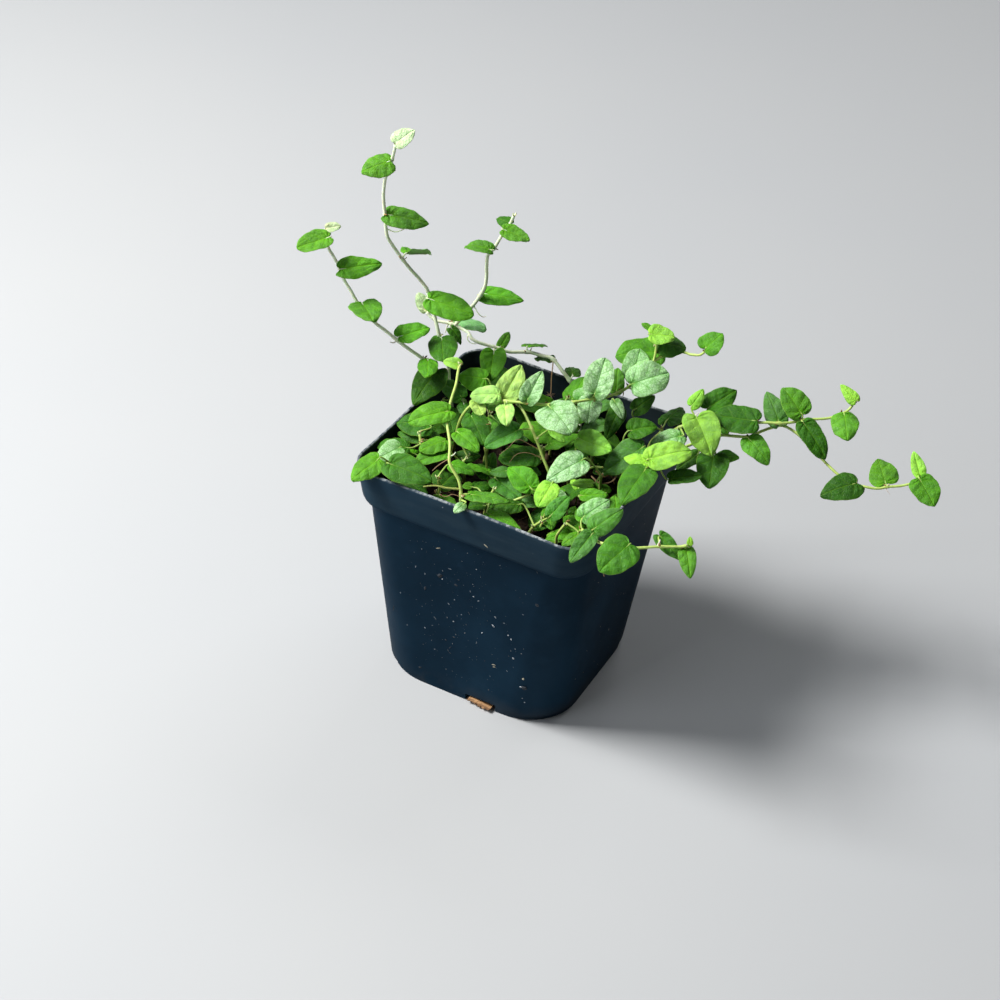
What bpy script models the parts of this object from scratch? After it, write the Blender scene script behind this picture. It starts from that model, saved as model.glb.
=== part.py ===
# A potted creeping fig: a square black nursery pot, its potting mix and its leafy stems.
# Lengths are in millimetres up to the last step, where each mesh is made in metres.
# Z is up, the floor is z = 0 and the pot's underside centre is the origin.

import math
import random

import bpy
import bmesh
from mathutils import Matrix, Vector
from mathutils.bvhtree import BVHTree

# The pot
POT_HEIGHT = 90.0
RIM_SIDE = 90.0
RIM_BAND = 15.0
BODY_TOP_SIDE = 83.6
BASE_SIDE = 71.6
WALL = 1.1
FLOOR_THICK = 1.6
STEP_HEIGHT = 2.4
FOOT_CORNER = 19.5
WALL_CORNER = 17.5
SLOT_WIDTH = 12.0
SLOT_HEIGHT = 3.0
SLOT_DEPTH = 4.0
SLOT_OFFSET = 7.6
SLOT_QUARTERS = (0, 2)
FLOOR_HOLE_RADIUS = 4.5
FLOOR_HOLE_OUT = 27.0

# The potting mix
MIX_TOP = 75.6
MIX_GAP = 0.4
HOLE_DEPTH = 8.0
HOLE_RADIUS = 1.4

# The chip of bark in the front drain slot
CHIP_SIZE = (9.2, 5.0, 2.1)
CHIP_PLACE = (7.8, -35.2, 1.35)
CHIP_TURN = math.radians(-6)

# Stems and leaves
STEM_RADIUS = 0.65
STALK_RADIUS = 0.5
STALK_END_RADIUS = 0.3
BLADE_THICK = 0.68
GAP = 0.36
STEM_WITHIN = 0.4
LEAF_FILL = 44
SEED = 11

# The plant is laid out on a drawing sheet that stands in the middle of the rim and faces the viewer.
# A place on it is (across, up) in mm. A sight line through it, cut at a height, gives the point in space.
TURN = math.radians(25.18)
RISE = math.radians(37.24)
ROLL = math.radians(4.70)
LOOK_AT = Vector((-7.95, 0.0, 62.1))
DISTANCE = 828.5
SHEET = Vector((0.0, 0.0, 90.0))

BACK = Vector((math.sin(TURN) * math.cos(RISE), -math.cos(TURN) * math.cos(RISE), math.sin(RISE)))
LEVEL = Vector((math.cos(TURN), math.sin(TURN), 0.0))
ACROSS = LEVEL * math.cos(ROLL) + BACK.cross(LEVEL) * math.sin(ROLL)
UP = BACK.cross(LEVEL) * math.cos(ROLL) - LEVEL * math.sin(ROLL)
EYE = LOOK_AT + BACK * DISTANCE

# Long stems, read off the photo: (across, up, height) from the mix outwards.
ROUTES = {
    "vine_tall_back": [
        [(-25, 9.5, 75.6), (-25.8, 16, 81.5), (-26.3, 21.5, 88), (-26.6, 26, 93.8), (-27.8, 31, 100.7),
         (-29.6, 36.7, 109), (-31.4, 44.1, 116.5), (-33.2, 50.9, 124), (-34, 53, 126.5), (-36.6, 56.4, 130),
         (-39.3, 59.3, 134), (-41.9, 62.5, 138), (-44.5, 66.1, 142), (-47.2, 70.3, 147), (-47.9, 73.5, 150.5),
         (-48.2, 78.2, 156), (-48.6, 81.9, 160), (-48.7, 86.1, 165), (-47.9, 91.4, 171), (-45.8, 97.1, 177),
         (-44.8, 101.1, 182), (-44.5, 103, 184)],
    ],
    "vine_left": [
        [(-20, 10.5, 75.6), (-21, 14.1, 81), (-23, 17.5, 87), (-25.3, 20.7, 93), (-29.9, 24.3, 99),
         (-35.3, 28.9, 105), (-39.9, 32.1, 108.5), (-44, 35.2, 111.5), (-48.2, 38.6, 114), (-52.1, 41.7, 117),
         (-57.7, 48.3, 123), (-59.8, 52, 126.5), (-62.4, 56.2, 130), (-63.7, 59.8, 133.5), (-65.6, 63.5, 136.5),
         (-67.7, 67.2, 140), (-68.2, 71.9, 144), (-68.2, 73.6, 145.5)],
    ],
    "vine_back": [
        [(18.5, 5, 75.6), (18.8, 10.8, 81.3), (17.6, 17.4, 87.7), (15.4, 20.9, 91.5), (12.7, 24.5, 95.3),
         (9.4, 28.7, 99), (7.6, 29.5, 99.6), (5, 30.1, 100), (1.4, 31.1, 101), (-2.3, 31.2, 101.5),
         (-5.9, 31.3, 102), (-10, 32.7, 103), (-13.6, 33.7, 104), (-16.5, 34.6, 105), (-18.7, 36, 106),
         (-19.6, 37.7, 107), (-21.5, 38.9, 107.5), (-24.2, 40.4, 108.5), (-26.5, 41.1, 109), (-31, 42.1, 109.5),
         (-33.3, 44.1, 111), (-33.8, 45.6, 112.5)],
        [(-24.2, 40.4, 108.5), (-21.2, 44.1, 113), (-17.9, 47.4, 117), (-15.4, 50.9, 121), (-13.9, 53.9, 125),
         (-13.4, 57.4, 129), (-13.4, 60.5, 133), (-12.9, 64.5, 138), (-10.9, 66.7, 141), (-8.4, 70.8, 146),
         (-6.9, 72.8, 149), (-5.6, 74.5, 151), (-4.1, 77.8, 155)],
    ],
    "vine_across": [
        [(-24.8, -3, 75.6), (-24.3, 0, 82), (-23.6, 4, 90), (-22, 8.8, 97), (-18.7, 12.8, 102),
         (-12.9, 14.6, 105), (-5, 14.2, 106.5), (0, 13.7, 107), (5.7, 13.2, 107.3), (11, 13.2, 107.5),
         (16.1, 13.9, 107.5), (23.6, 15.2, 107), (27, 15.6, 107), (30, 16.6, 107), (34.7, 18.9, 107.5),
         (39, 22.5, 109), (43.6, 27.8, 113), (44.8, 34.3, 119), (44.6, 36.8, 121.5)],
        [(43.6, 27.8, 113), (46, 29.4, 114), (50, 30.9, 115), (53.9, 31.2, 116), (56.3, 30.4, 116.5),
         (59.7, 30.2, 117.5), (61.2, 31.2, 119), (62.3, 32.8, 120.5)],
    ],
    "vine_right_upper": [
        [(41.5, -11.4, 75.6), (43.5, -5, 83), (47, 1, 89.5), (50.5, 4.2, 94.5), (55, 6.3, 98), (64, 9, 101),
         (72, 8, 102), (79, 7.1, 102.3), (83, 7, 102.5), (87.8, 6.8, 102.8), (92.6, 7.3, 103), (94.5, 8, 103.5),
         (99.3, 8.2, 104), (104.1, 8.6, 104.5), (109.1, 10.4, 106), (111.3, 12.1, 107.5), (113, 14.4, 109.5)],
    ],
    "vine_right_lower": [
        [(37.6, -16.7, 75.6), (39.8, -12, 83.5), (42.6, -8.6, 90.3), (45, -6.6, 94), (47.5, -5, 95.2),
         (55, -1.2, 96), (61, 1.2, 97), (66.5, 2.7, 97.5), (71, 2.4, 97.7), (77, 2.2, 98), (80, 3.7, 98.6),
         (84.6, 5.4, 99), (87.8, 6, 99),
         (90.2, 5.1, 98.8), (92.6, 3.5, 98.2), (94.5, 2, 97.5), (98, -1.5, 95.5), (103, -7, 93), (108, -11.5, 91),
         (113.7, -14.3, 90), (116.5, -15, 90), (120.6, -15.6, 90), (123.7, -15, 90.7), (127.1, -14.8, 91.3),
         (130, -14.4, 92), (133, -13.4, 93.2), (135, -11.6, 95)],
    ],
    "vine_front_right": [
        [(15.9, -37.6, 75.6), (17.5, -33, 83), (18.9, -29.9, 89.5), (20.1, -30.4, 91.5), (22.2, -31.8, 92.5),
         (24.6, -33.8, 93), (30, -35.2, 94), (36.2, -35.9, 94.7), (40.9, -35.8, 95.2), (45.1, -35.5, 95.6),
         (52.9, -35.5, 96), (55.2, -35.2, 96.5)],
    ],
    "vine_over_left": [
        [(-20.9, -29.4, 75.6), (-21.6, -24.5, 83), (-22.1, -20.4, 89.5), (-22.3, -15.8, 94), (-23.2, -12.2, 97),
         (-25.1, -9, 99.5), (-26.2, -6.3, 101.5), (-26.1, -3.5, 103), (-26, 0.1, 105), (-26.6, 4.2, 107),
         (-27.1, 8.4, 109), (-26.4, 11.8, 110.5), (-25.3, 15.7, 112), (-23.9, 20.2, 113.5), (-23.2, 24.6, 114.5),
         (-22.6, 26.8, 115)],
    ],
    "vine_middle": [
        [(9, -17, 75.6), (8.5, -12, 82.5), (7.9, -9.9, 86), (5.7, -4.4, 91), (3.5, 1.5, 96), (1.7, 5.7, 99.5),
         (-0.5, 10.3, 101.5), (-2.4, 13, 102.6)],
    ],
}

# Leaves of the long stems: stalk end (across, up), tip (across, up), width as seen, how far the stalk end is
# nearer than its stem, sideways lean, backward tilt (0 faces the viewer, 1.3 lies level) and tone.
VINE_LEAVES = {
    "vine_tall_back": [
        (-44.5, 102.9, -38, 107.4, 6, 0.3, 0, 0.2, "w"),
        (-46.6, 96.6, -56.4, 92.8, 8.6, 1.5, 0, 0.5, "g"),
        (-46.9, 78.2, -32.9, 75.9, 7.6, 0.5, 0.2, 0.5, "g"),
        (-40.4, 65.1, -32.5, 65.5, 2.8, 0, 0, 6, "g"),
        (-32.7, 49.3, -17.8, 44.3, 9, 1, 0, 0.4, "g"),
        (-28.8, 36, -28.3, 28.6, 10.2, 1.5, 0, 1.2, "d"),
    ],
    "vine_left": [
        (-68.2, 73.6, -63.3, 74.4, 3.4, 0.3, 0, 0.3, "w"),
        (-67.8, 70.4, -78.5, 66.9, 7.2, 1.2, 0, 0.6, "g"),
        (-63, 59.6, -49.1, 61.7, 8, 1, 0.2, 0.5, "g"),
        (-56, 47.8, -52.3, 41.9, 10.8, 1.5, 0, 1.4, "g"),
        (-42.9, 36.6, -32.8, 40, 6.8, -0.5, 0, 0.6, "g"),
        (-33.5, 28.6, -33.7, 23.4, 7.4, 1.5, 0, 1.3, "g"),
        (-30.8, 24.8, -38.5, 13.6, 10.5, 0.5, 0, 0.5, "d"),
        (-21.2, 13.4, -20.8, 9.6, 5.5, -2, 0, 1.3, "b"),
    ],
    "vine_back": [
        (-33.9, 45.4, -36.6, 51.8, 4.6, -0.3, 0.5, 0.2, "w"),
        (-24.8, 42.3, -13.4, 39.9, 4.6, -1.5, 0, 1.5, "u"),
        (-25.5, 39.4, -21.9, 33.9, 3.8, 1.5, 0.6, 0.3, "d"),
        (-10.9, 31.2, -12.5, 21, 9.2, 0.5, 0, 0.4, "g"),
        (-8.9, 32.8, -5.4, 38.3, 3.8, -0.5, 0.3, 0.3, "g"),
        (0.8, 33.2, 6.8, 34.1, 2.6, 0, 0, 5, "g"),
        (9, 28.9, 2.9, 29.5, 2.8, -1.5, 0, 2.5, "d"),
        (16, 23.3, 15.2, 26.2, 6, 0.5, 0, 2.6, "d"),
        (-14.2, 51.2, -0.6, 49, 6.8, 0.4, 0, 0.5, "g"),
        (-12, 66.2, -21.1, 67.7, 4.8, 0.4, 0, 0.9, "g"),
        (-7.2, 73, 1.4, 69.7, 5.6, 0.4, 0, 0.7, "g"),
        (-5.4, 75.2, -10.2, 77.2, 4.6, 0, -0.3, 0.5, "d"),
    ],
    "vine_across": [
        (42.8, 37.3, 51.2, 36.6, 7.4, 0.4, 0, 0.5, "y"),
        (43.4, 38.8, 39.7, 41.3, 2.4, 0, 0, 0.5, "g"),
        (45.8, 34.4, 55, 32.6, 7.6, -2, 0, 0.5, "d"),
        (61.4, 32.4, 67.5, 37.8, 8.4, 0.4, -0.2, 0.4, "g"),
        (36.4, 20.2, 49.2, 24.4, 12, 3, 0, 0.3, "p"),
        (36.6, 22.4, 39.4, 32.8, 9, 0.6, 0, 0.3, "p"),
        (46, 31.2, 30.6, 30.4, 10.5, -3.5, 0, 0.6, "g"),
        (31, 17.5, 31.5, 26, 5.5, -2, 0, 0.4, "g"),
        (23.6, 16.8, 27.4, 29.5, 10.4, 1, 0, 0.3, "p"),
        (22.3, 15.4, 21.2, 6.8, 8.6, -1.6, 0, 0.3, "p"),
        (18.4, 14.8, 21.6, 19, 6.2, -2.5, 0, 0.6, "p"),
        (0.4, 14.5, 5.7, 25, 7.4, 0.8, 0, 0.3, "p"),
        (-7.8, 15.2, -1.3, 26.9, 8.6, 1, 0.2, 0.3, "y"),
        (-9.6, 16.6, -19.1, 16.3, 6.6, 0.5, 0, 0.4, "y"),
        (-8.5, 13.6, -13.2, 11.6, 4, -2, 0, 0.7, "y"),
        (-17.4, 14.6, -14.6, 9.6, 4.8, 2, 0, 0.6, "y"),
        (-7.2, 12.6, -6.7, 6.4, 6.2, 0.8, 0, 0.9, "y"),
        (8.2, 12.4, 15.6, 3.8, 13.5, 1.4, 0, 0.8, "p"),
    ],
    "vine_right_upper": [
        (86.8, 7.2, 82.5, 17.9, 8, -1.2, -0.1, 0.3, "b"),
        (94.5, 10, 88.2, 19.3, 9.4, 0.3, 0.2, 0.3, "g"),
        (113, 14.6, 107.9, 20.3, 4.8, 0.3, 0, 0.3, "y"),
        (95.2, 6.8, 103.1, -5.2, 8, 0.5, 0.2, 0.3, "d"),
        (109.1, 9.9, 110.1, 1.2, 9.8, 1.2, 0, 0.7, "g"),
        (79, 7.6, 64, 9.8, 10.2, 0.5, 0, 0.6, "d"),
        (62.4, 12, 72.4, 18.6, 8.6, -3, 0, 0.4, "d"),
        (57.1, 13, 61, 18.7, 4.8, 0, 0, 0.3, "y"),
        (58.6, 8.6, 63.7, -4.3, 12.6, 4, 0.1, 0.4, "y"),
        (65.5, 8.2, 69.5, 3.3, 5.6, -1, 0, 0.5, "g"),
        (53, 2.4, 42.5, -0.6, 6.5, -2, 0, 0.6, "p"),
    ],
    "vine_right_lower": [
        (41, -9, 33, -20.7, 10.4, 9, 0, 1, "g"),
        (76.5, 1.4, 83.3, -7, 8, 0.5, 0, 0.4, "g"),
        (66.3, -4.4, 73.2, -4.9, 4, -1, 0, 1, "g"),
        (64.3, -4, 62.8, -15.4, 11, -2, 0, 0.5, "d"),
        (59, -3.8, 51.5, -9, 5.2, -2, 0, 0.5, "d"),
        (49.5, -12.4, 60.5, -11, 5.2, -1, 0, 0.6, "d"),
        (113.2, -13.8, 101, -17.6, 9, 0.3, 0, 0.5, "d"),
        (123.3, -13.6, 120.6, -5.1, 10, -0.3, 0, 0.4, "g"),
        (135, -10.8, 132.9, -2.7, 4.9, 0, 0, 0.3, "y"),
        (135.1, -12.6, 140, -21.4, 10, 1, 0, 0.5, "g"),
        (42.6, -5.5, 57.2, -2.2, 9, 3, 0, 0.5, "y"),
        (41.6, -7, 33.6, -4.6, 5.2, 6.5, 0, 0.6, "y"),
    ],
    "vine_front_right": [
        (35.4, -34.8, 25.3, -43.8, 11.4, 1.4, 0, 0.4, "g"),
        (46, -31.8, 53, -39.6, 5.6, -2, 0, 0.4, "g"),
        (55, -36.1, 56.4, -46.2, 5.8, 0.4, 0, 0.5, "g"),
        (22.6, -31.4, 15.3, -40.4, 6.6, 1.4, 0, 0.5, "b"),
        (19.6, -25.4, 28.8, -19.2, 7.8, -0.5, 0, 0.4, "p"),
        (23.4, -29.4, 33.4, -22.4, 7.4, -3, 0, 0.5, "b"),
        (56.2, -34.8, 56.4, -31.9, 1.4, 0, 0, 0.3, "y"),
    ],
    "vine_over_left": [
        (-26.2, 11, -40.3, 7.4, 7.8, 0.9, 0, 0.5, "g"),
        (-22.6, 26.6, -28.3, 28.2, 4, 0.2, 0, 0.5, "y"),
        (-18.6, -17.6, -5.3, -19.3, 3.8, 0.5, 0, 1.3, "g"),
        (-21.4, -21, -24.6, -23.8, 3.4, 1.5, 0, 0.6, "p"),
    ],
    "vine_middle": [],
}

# Leaves that fill the pot: as above, with the height of the stalk end in place of its distance to a stem.
POT_LEAVES = [
    (-14, 22, -23.6, 23.4, 8.5, 98, 0, 0.4, "g"),
    (-22, 15.8, -28.5, 21.5, 7, 92, 0, 0.5, "b"),
    (-32.5, 6, -44.3, 7.5, 8.3, 92, 0, 0.7, "d"),
    (-31.5, 1.8, -44, 4.3, 5.8, 89, 0, 1, "d"),
    (-27.5, 0.8, -36.5, -2.6, 5.5, 89, 0, 1, "g"),
    (-27, -3.2, -38.7, -7, 6.2, 88, 0, 0.9, "g"),
    (-40.5, -1.6, -51, -1, 5, 87, 0, 1, "d"),
    (-43.2, -1.5, -50.8, -5.2, 7, 93, 0, 0.6, "p"),
    (-50.5, -5.5, -59.7, -12.3, 8, 94, 0, 0.6, "g"),
    (-46.3, -7.2, -32.2, -12.6, 9.6, 92, 0, 0.6, "d"),
    (-25.3, -7.4, -17.6, -10.5, 4.9, 89, 0, 0.8, "g"),
    (-18.5, -15.2, -11.6, -14.3, 3.6, 85, 0, 1, "d"),
    (-18.8, -15, -21.8, -14.6, 2.6, 86, 0, 0.8, "g"),
    (-14.2, -21.4, -19.8, -21.8, 4, 84.5, 0, 1, "d"),
    (-2, -21, -13.6, -22.3, 4.8, 87, 0, 1, "d"),
    (-12.5, -24.3, -1.3, -29.6, 4.6, 85, 0, 1, "g"),
    (9.6, -23.4, 1.2, -28.4, 7.2, 85, 0, 0.7, "g"),
    (7.5, -23, 8.8, -29.6, 5, 86, 0, 0.8, "g"),
    (8.8, -14.2, 4.2, -21.6, 7.6, 93, 0, 0.6, "y"),
    (1.6, -15.2, -6.1, -8, 8.6, 91, 0, 0.5, "g"),
    (-9.8, -12.6, -1.4, -19.2, 7.2, 87, 0, 0.8, "b"),
    (-6.5, -9.5, -12.3, -10, 3.8, 88, 0, 0.8, "b"),
    (3.5, -4.6, -9.5, -5, 6.8, 87, 0, 0.9, "d"),
    (-2.9, 4.3, -14.1, -0.9, 7.6, 95, 0, 0.6, "b"),
    (-18.7, 9.5, -14.2, -0.7, 9, 97, 0, 0.6, "d"),
    (-23.2, 3.6, -16, -2.9, 6.2, 92, 0, 0.7, "g"),
    (8.8, 4.2, 13.4, 0.6, 3, 97, 0, 0.7, "y"),
    (18.6, 1.4, 29.6, -2.4, 8.8, 98, 0, 0.5, "y"),
    (19.4, -5.8, 7.2, -12.9, 9.6, 97, 0, 0.5, "p"),
    (32, 11.5, 27.5, 1.5, 6.8, 97, 0, 0.4, "d"),
    (30.5, 14.2, 33.4, 8.4, 4.4, 100, 0, 0.5, "p"),
    (36, 4.2, 45.2, 5.8, 7, 98, 0, 0.5, "d"),
    (37.5, 11.5, 44.3, 16.4, 6, 101, 0, 0.4, "d"),
    (40, -1.5, 26.5, -9.8, 10, 95, 0, 0.5, "b"),
    (31, -23, 30.6, -17.6, 5, 87, 0, 0.8, "g"),
    (20, -26, 17.4, -22.4, 4.2, 88, 0, 0.8, "g"),
    (19, -29, 12.9, -25, 5.2, 87, 0, 0.8, "g"),
    (19.3, -18, 27.9, -17.3, 4.4, 90, 0, 0.8, "g"),
    (22.5, -13.7, 15.4, -14, 3.2, 89, 0, 0.8, "y"),
    (18.8, -29.8, 6.6, -32.7, 4.2, 88, 0, 0.9, "g"),
    (18, -31.2, 12.4, -35, 3.6, 88, 0, 0.9, "g"),
    (8.8, -24.6, 15, -17.8, 6.2, 89, 0, 0.5, "b"),
    (3, -19.8, -1.9, -21.6, 4.6, 87, 0, 0.9, "b"),
]

# Half outline of a leaf: (along, across) as shares of length and half width, stalk notch to tip.
HALF_OUTLINE = [(-0.10, 0.40), (0.12, 0.98), (0.52, 0.97), (0.84, 0.50)]
SMALL_OUTLINE = [(-0.08, 0.55), (0.34, 1.05), (0.80, 0.58)]
SMALL_LEAF = 7.0


def sheet_point(across, up):
    """The point in space of a place on the drawing sheet."""
    return SHEET + ACROSS * across + UP * up


def on_sight_line(across, up, height):
    """Where the sight line through a place on the sheet passes a height."""
    ray = sheet_point(across, up) - EYE
    return EYE + ray * ((height - EYE.z) / ray.z)


def smooth_route(points, step=1.0):
    """A smooth curve through points, as points about a step apart."""
    ends = [points[0] * 2 - points[1]] + points + [points[-1] * 2 - points[-2]]
    curve = []
    for before, start, end, after in zip(ends, ends[1:], ends[2:], ends[3:]):
        count = max(1, round((end - start).length / step))
        for i in range(count):
            t = i / count
            curve.append(0.5 * (2 * start + (end - before) * t
                                + (2 * before - 5 * start + 4 * end - after) * t * t
                                + (3 * start - before - 3 * end + after) * t ** 3))
    return curve + [points[-1].copy()]


def thinned(curve, within):
    """The same curve with only the points that keep it within a distance of its first shape."""
    first, last = curve[0], curve[-1]
    along = last - first
    farthest, number = 0.0, 0
    for i in range(1, len(curve) - 1):
        share = max(0.0, min(1.0, (curve[i] - first).dot(along) / max(along.length_squared, 1e-9)))
        away = (curve[i] - first - along * share).length
        if away > farthest:
            farthest, number = away, i
    if farthest <= within:
        return [first, last]
    return thinned(curve[:number + 1], within)[:-1] + thinned(curve[number:], within)


def tube(points, radius, sides, end_radius=None):
    """A closed tube along points: (vertices, faces)."""
    end_radius = radius if end_radius is None else end_radius
    last = len(points) - 1
    heading = (points[1] - points[0]).normalized()
    side = heading.orthogonal().normalized()
    verts = []
    for i, point in enumerate(points):
        heading = (points[min(i + 1, last)] - points[max(i - 1, 0)]).normalized()
        side = (side - heading * side.dot(heading)).normalized()
        other = heading.cross(side)
        size = radius + (end_radius - radius) * i / last
        for k in range(sides):
            angle = 2 * math.pi * (k + 0.5) / sides
            verts.append(point + (side * math.cos(angle) + other * math.sin(angle)) * size)
    faces = [tuple(range(sides - 1, -1, -1)), tuple(last * sides + k for k in range(sides))]
    for i in range(last):
        for k in range(sides):
            a, b = i * sides + k, i * sides + (k + 1) % sides
            faces.append((a, b, b + sides, a + sides))
    return verts, faces


class Leaf:
    """One leaf blade: its place, size and gentle curves."""

    def __init__(self, root, axis, face, length, half, draw, tone):
        self.root = root
        self.axis = axis.normalized()
        self.face = (face - self.axis * face.dot(self.axis)).normalized()
        self.side = self.axis.cross(self.face)
        self.length = length
        self.half = half
        self.tone = tone
        self.arch = draw.uniform(-0.02, 0.07)
        self.fold = draw.uniform(-0.10, 0.20)
        self.cup = draw.uniform(-0.12, 0.14)
        self.twist = draw.uniform(-0.10, 0.10)
        self.seed = draw.random()

    def point(self, s, h):
        """A point of the blade: s runs from the stalk to the tip, h across in half widths."""
        lift = self.arch * self.length * 4 * s * (1 - s)
        lift += self.half * (self.fold * abs(h) + self.cup * h * h + self.twist * h * s)
        return (self.root + self.axis * (s * self.length) + self.side * (h * self.half)
                + self.face * lift)

    def moved(self, step):
        self.root = self.root + step


def leaf_on_sheet(entry, root, draw):
    """The leaf that a line of the layout draws, with its stalk end at root."""
    u0, v0, u1, v1, seen_width, _, lean, tilt, tone = entry
    face = BACK + UP * tilt + ACROSS * lean
    ray = sheet_point(u1, v1) - EYE
    tip = EYE + ray * (face.dot(root - EYE) / face.dot(ray))
    axis = tip - root
    face = (face - axis * face.dot(axis) / axis.length_squared).normalized()
    side = axis.normalized().cross(face)
    seen = Vector((axis.dot(ACROSS), axis.dot(UP))).normalized()
    share = abs(side.dot(ACROSS) * -seen.y + side.dot(UP) * seen.x)
    width = min(seen_width / max(share, 0.35), 1.25 * axis.length)
    return Leaf(root, axis, face, axis.length, max(width, 2.2) / 2, draw, tone)


def blade_mesh(leaf, thick, grow=0.0):
    """The closed blade of a leaf, both faces triangulated alike: (vertices, faces)."""
    small = leaf.length < SMALL_LEAF
    right = SMALL_OUTLINE if small else HALF_OUTLINE
    ribs = len(right)
    midrib = [(k / (ribs - 1), 0.0) for k in range(ribs)]
    left = [(s, -h) for s, h in right]
    along = 1 + 2 * grow / leaf.length
    across = 1 + grow / leaf.half
    places = [((s - 0.45) * along + 0.45, h * across) for s, h in midrib + right + left]
    top = [leaf.point(s, h) + leaf.face * thick / 2 for s, h in places]
    under = [leaf.point(s, h) - leaf.face * thick / 2 for s, h in places]
    half = []
    for k in range(ribs - 1):
        half += [(k, ribs + k, ribs + k + 1), (k, ribs + k + 1, k + 1)]
    mirrored = [tuple(i + ribs if i >= ribs else i for i in reversed(face)) for face in half]
    count = len(places)
    faces = half + mirrored + [tuple(i + count for i in reversed(face)) for face in half + mirrored]
    rim = [0] + list(range(ribs, 2 * ribs)) + [ribs - 1] + list(range(3 * ribs - 1, 2 * ribs - 1, -1))
    faces += [(a, a + count, b + count, b) for a, b in zip(rim, rim[1:] + rim[:1])]
    return top + under, faces


def stalk_route(start, leaf, bow):
    """Where the stalk of a leaf runs: from its stem to the notch and a little way along the midrib."""
    reach = (leaf.root - start).length
    route = [start]
    if reach > 4.0:
        bend = leaf.root - leaf.axis * (0.30 * reach) - leaf.face * (0.10 * reach) + bow * (0.22 * reach)
        route.append(start * 0.25 + bend * 0.5 + leaf.root * 0.25)
    route.append(leaf.point(0.12, 0.0))
    return route


def stalk_mesh(route):
    """A three-sided stalk that ends within the thickness of its blade."""
    return tube(route, STALK_RADIUS, 3, STALK_END_RADIUS)


def tree_of(mesh):
    return BVHTree.FromPolygons(mesh[0], mesh[1])


class Piece:
    """One placed solid, with its node's name, for the check that nothing touches another node."""

    def __init__(self, node, kind, mesh):
        self.node = node
        self.kind = kind
        self.tree = tree_of(mesh)
        low = Vector(min(v[i] for v in mesh[0]) for i in range(3))
        high = Vector(max(v[i] for v in mesh[0]) for i in range(3))
        self.middle = (low + high) / 2
        self.reach = (high - low).length / 2


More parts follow.
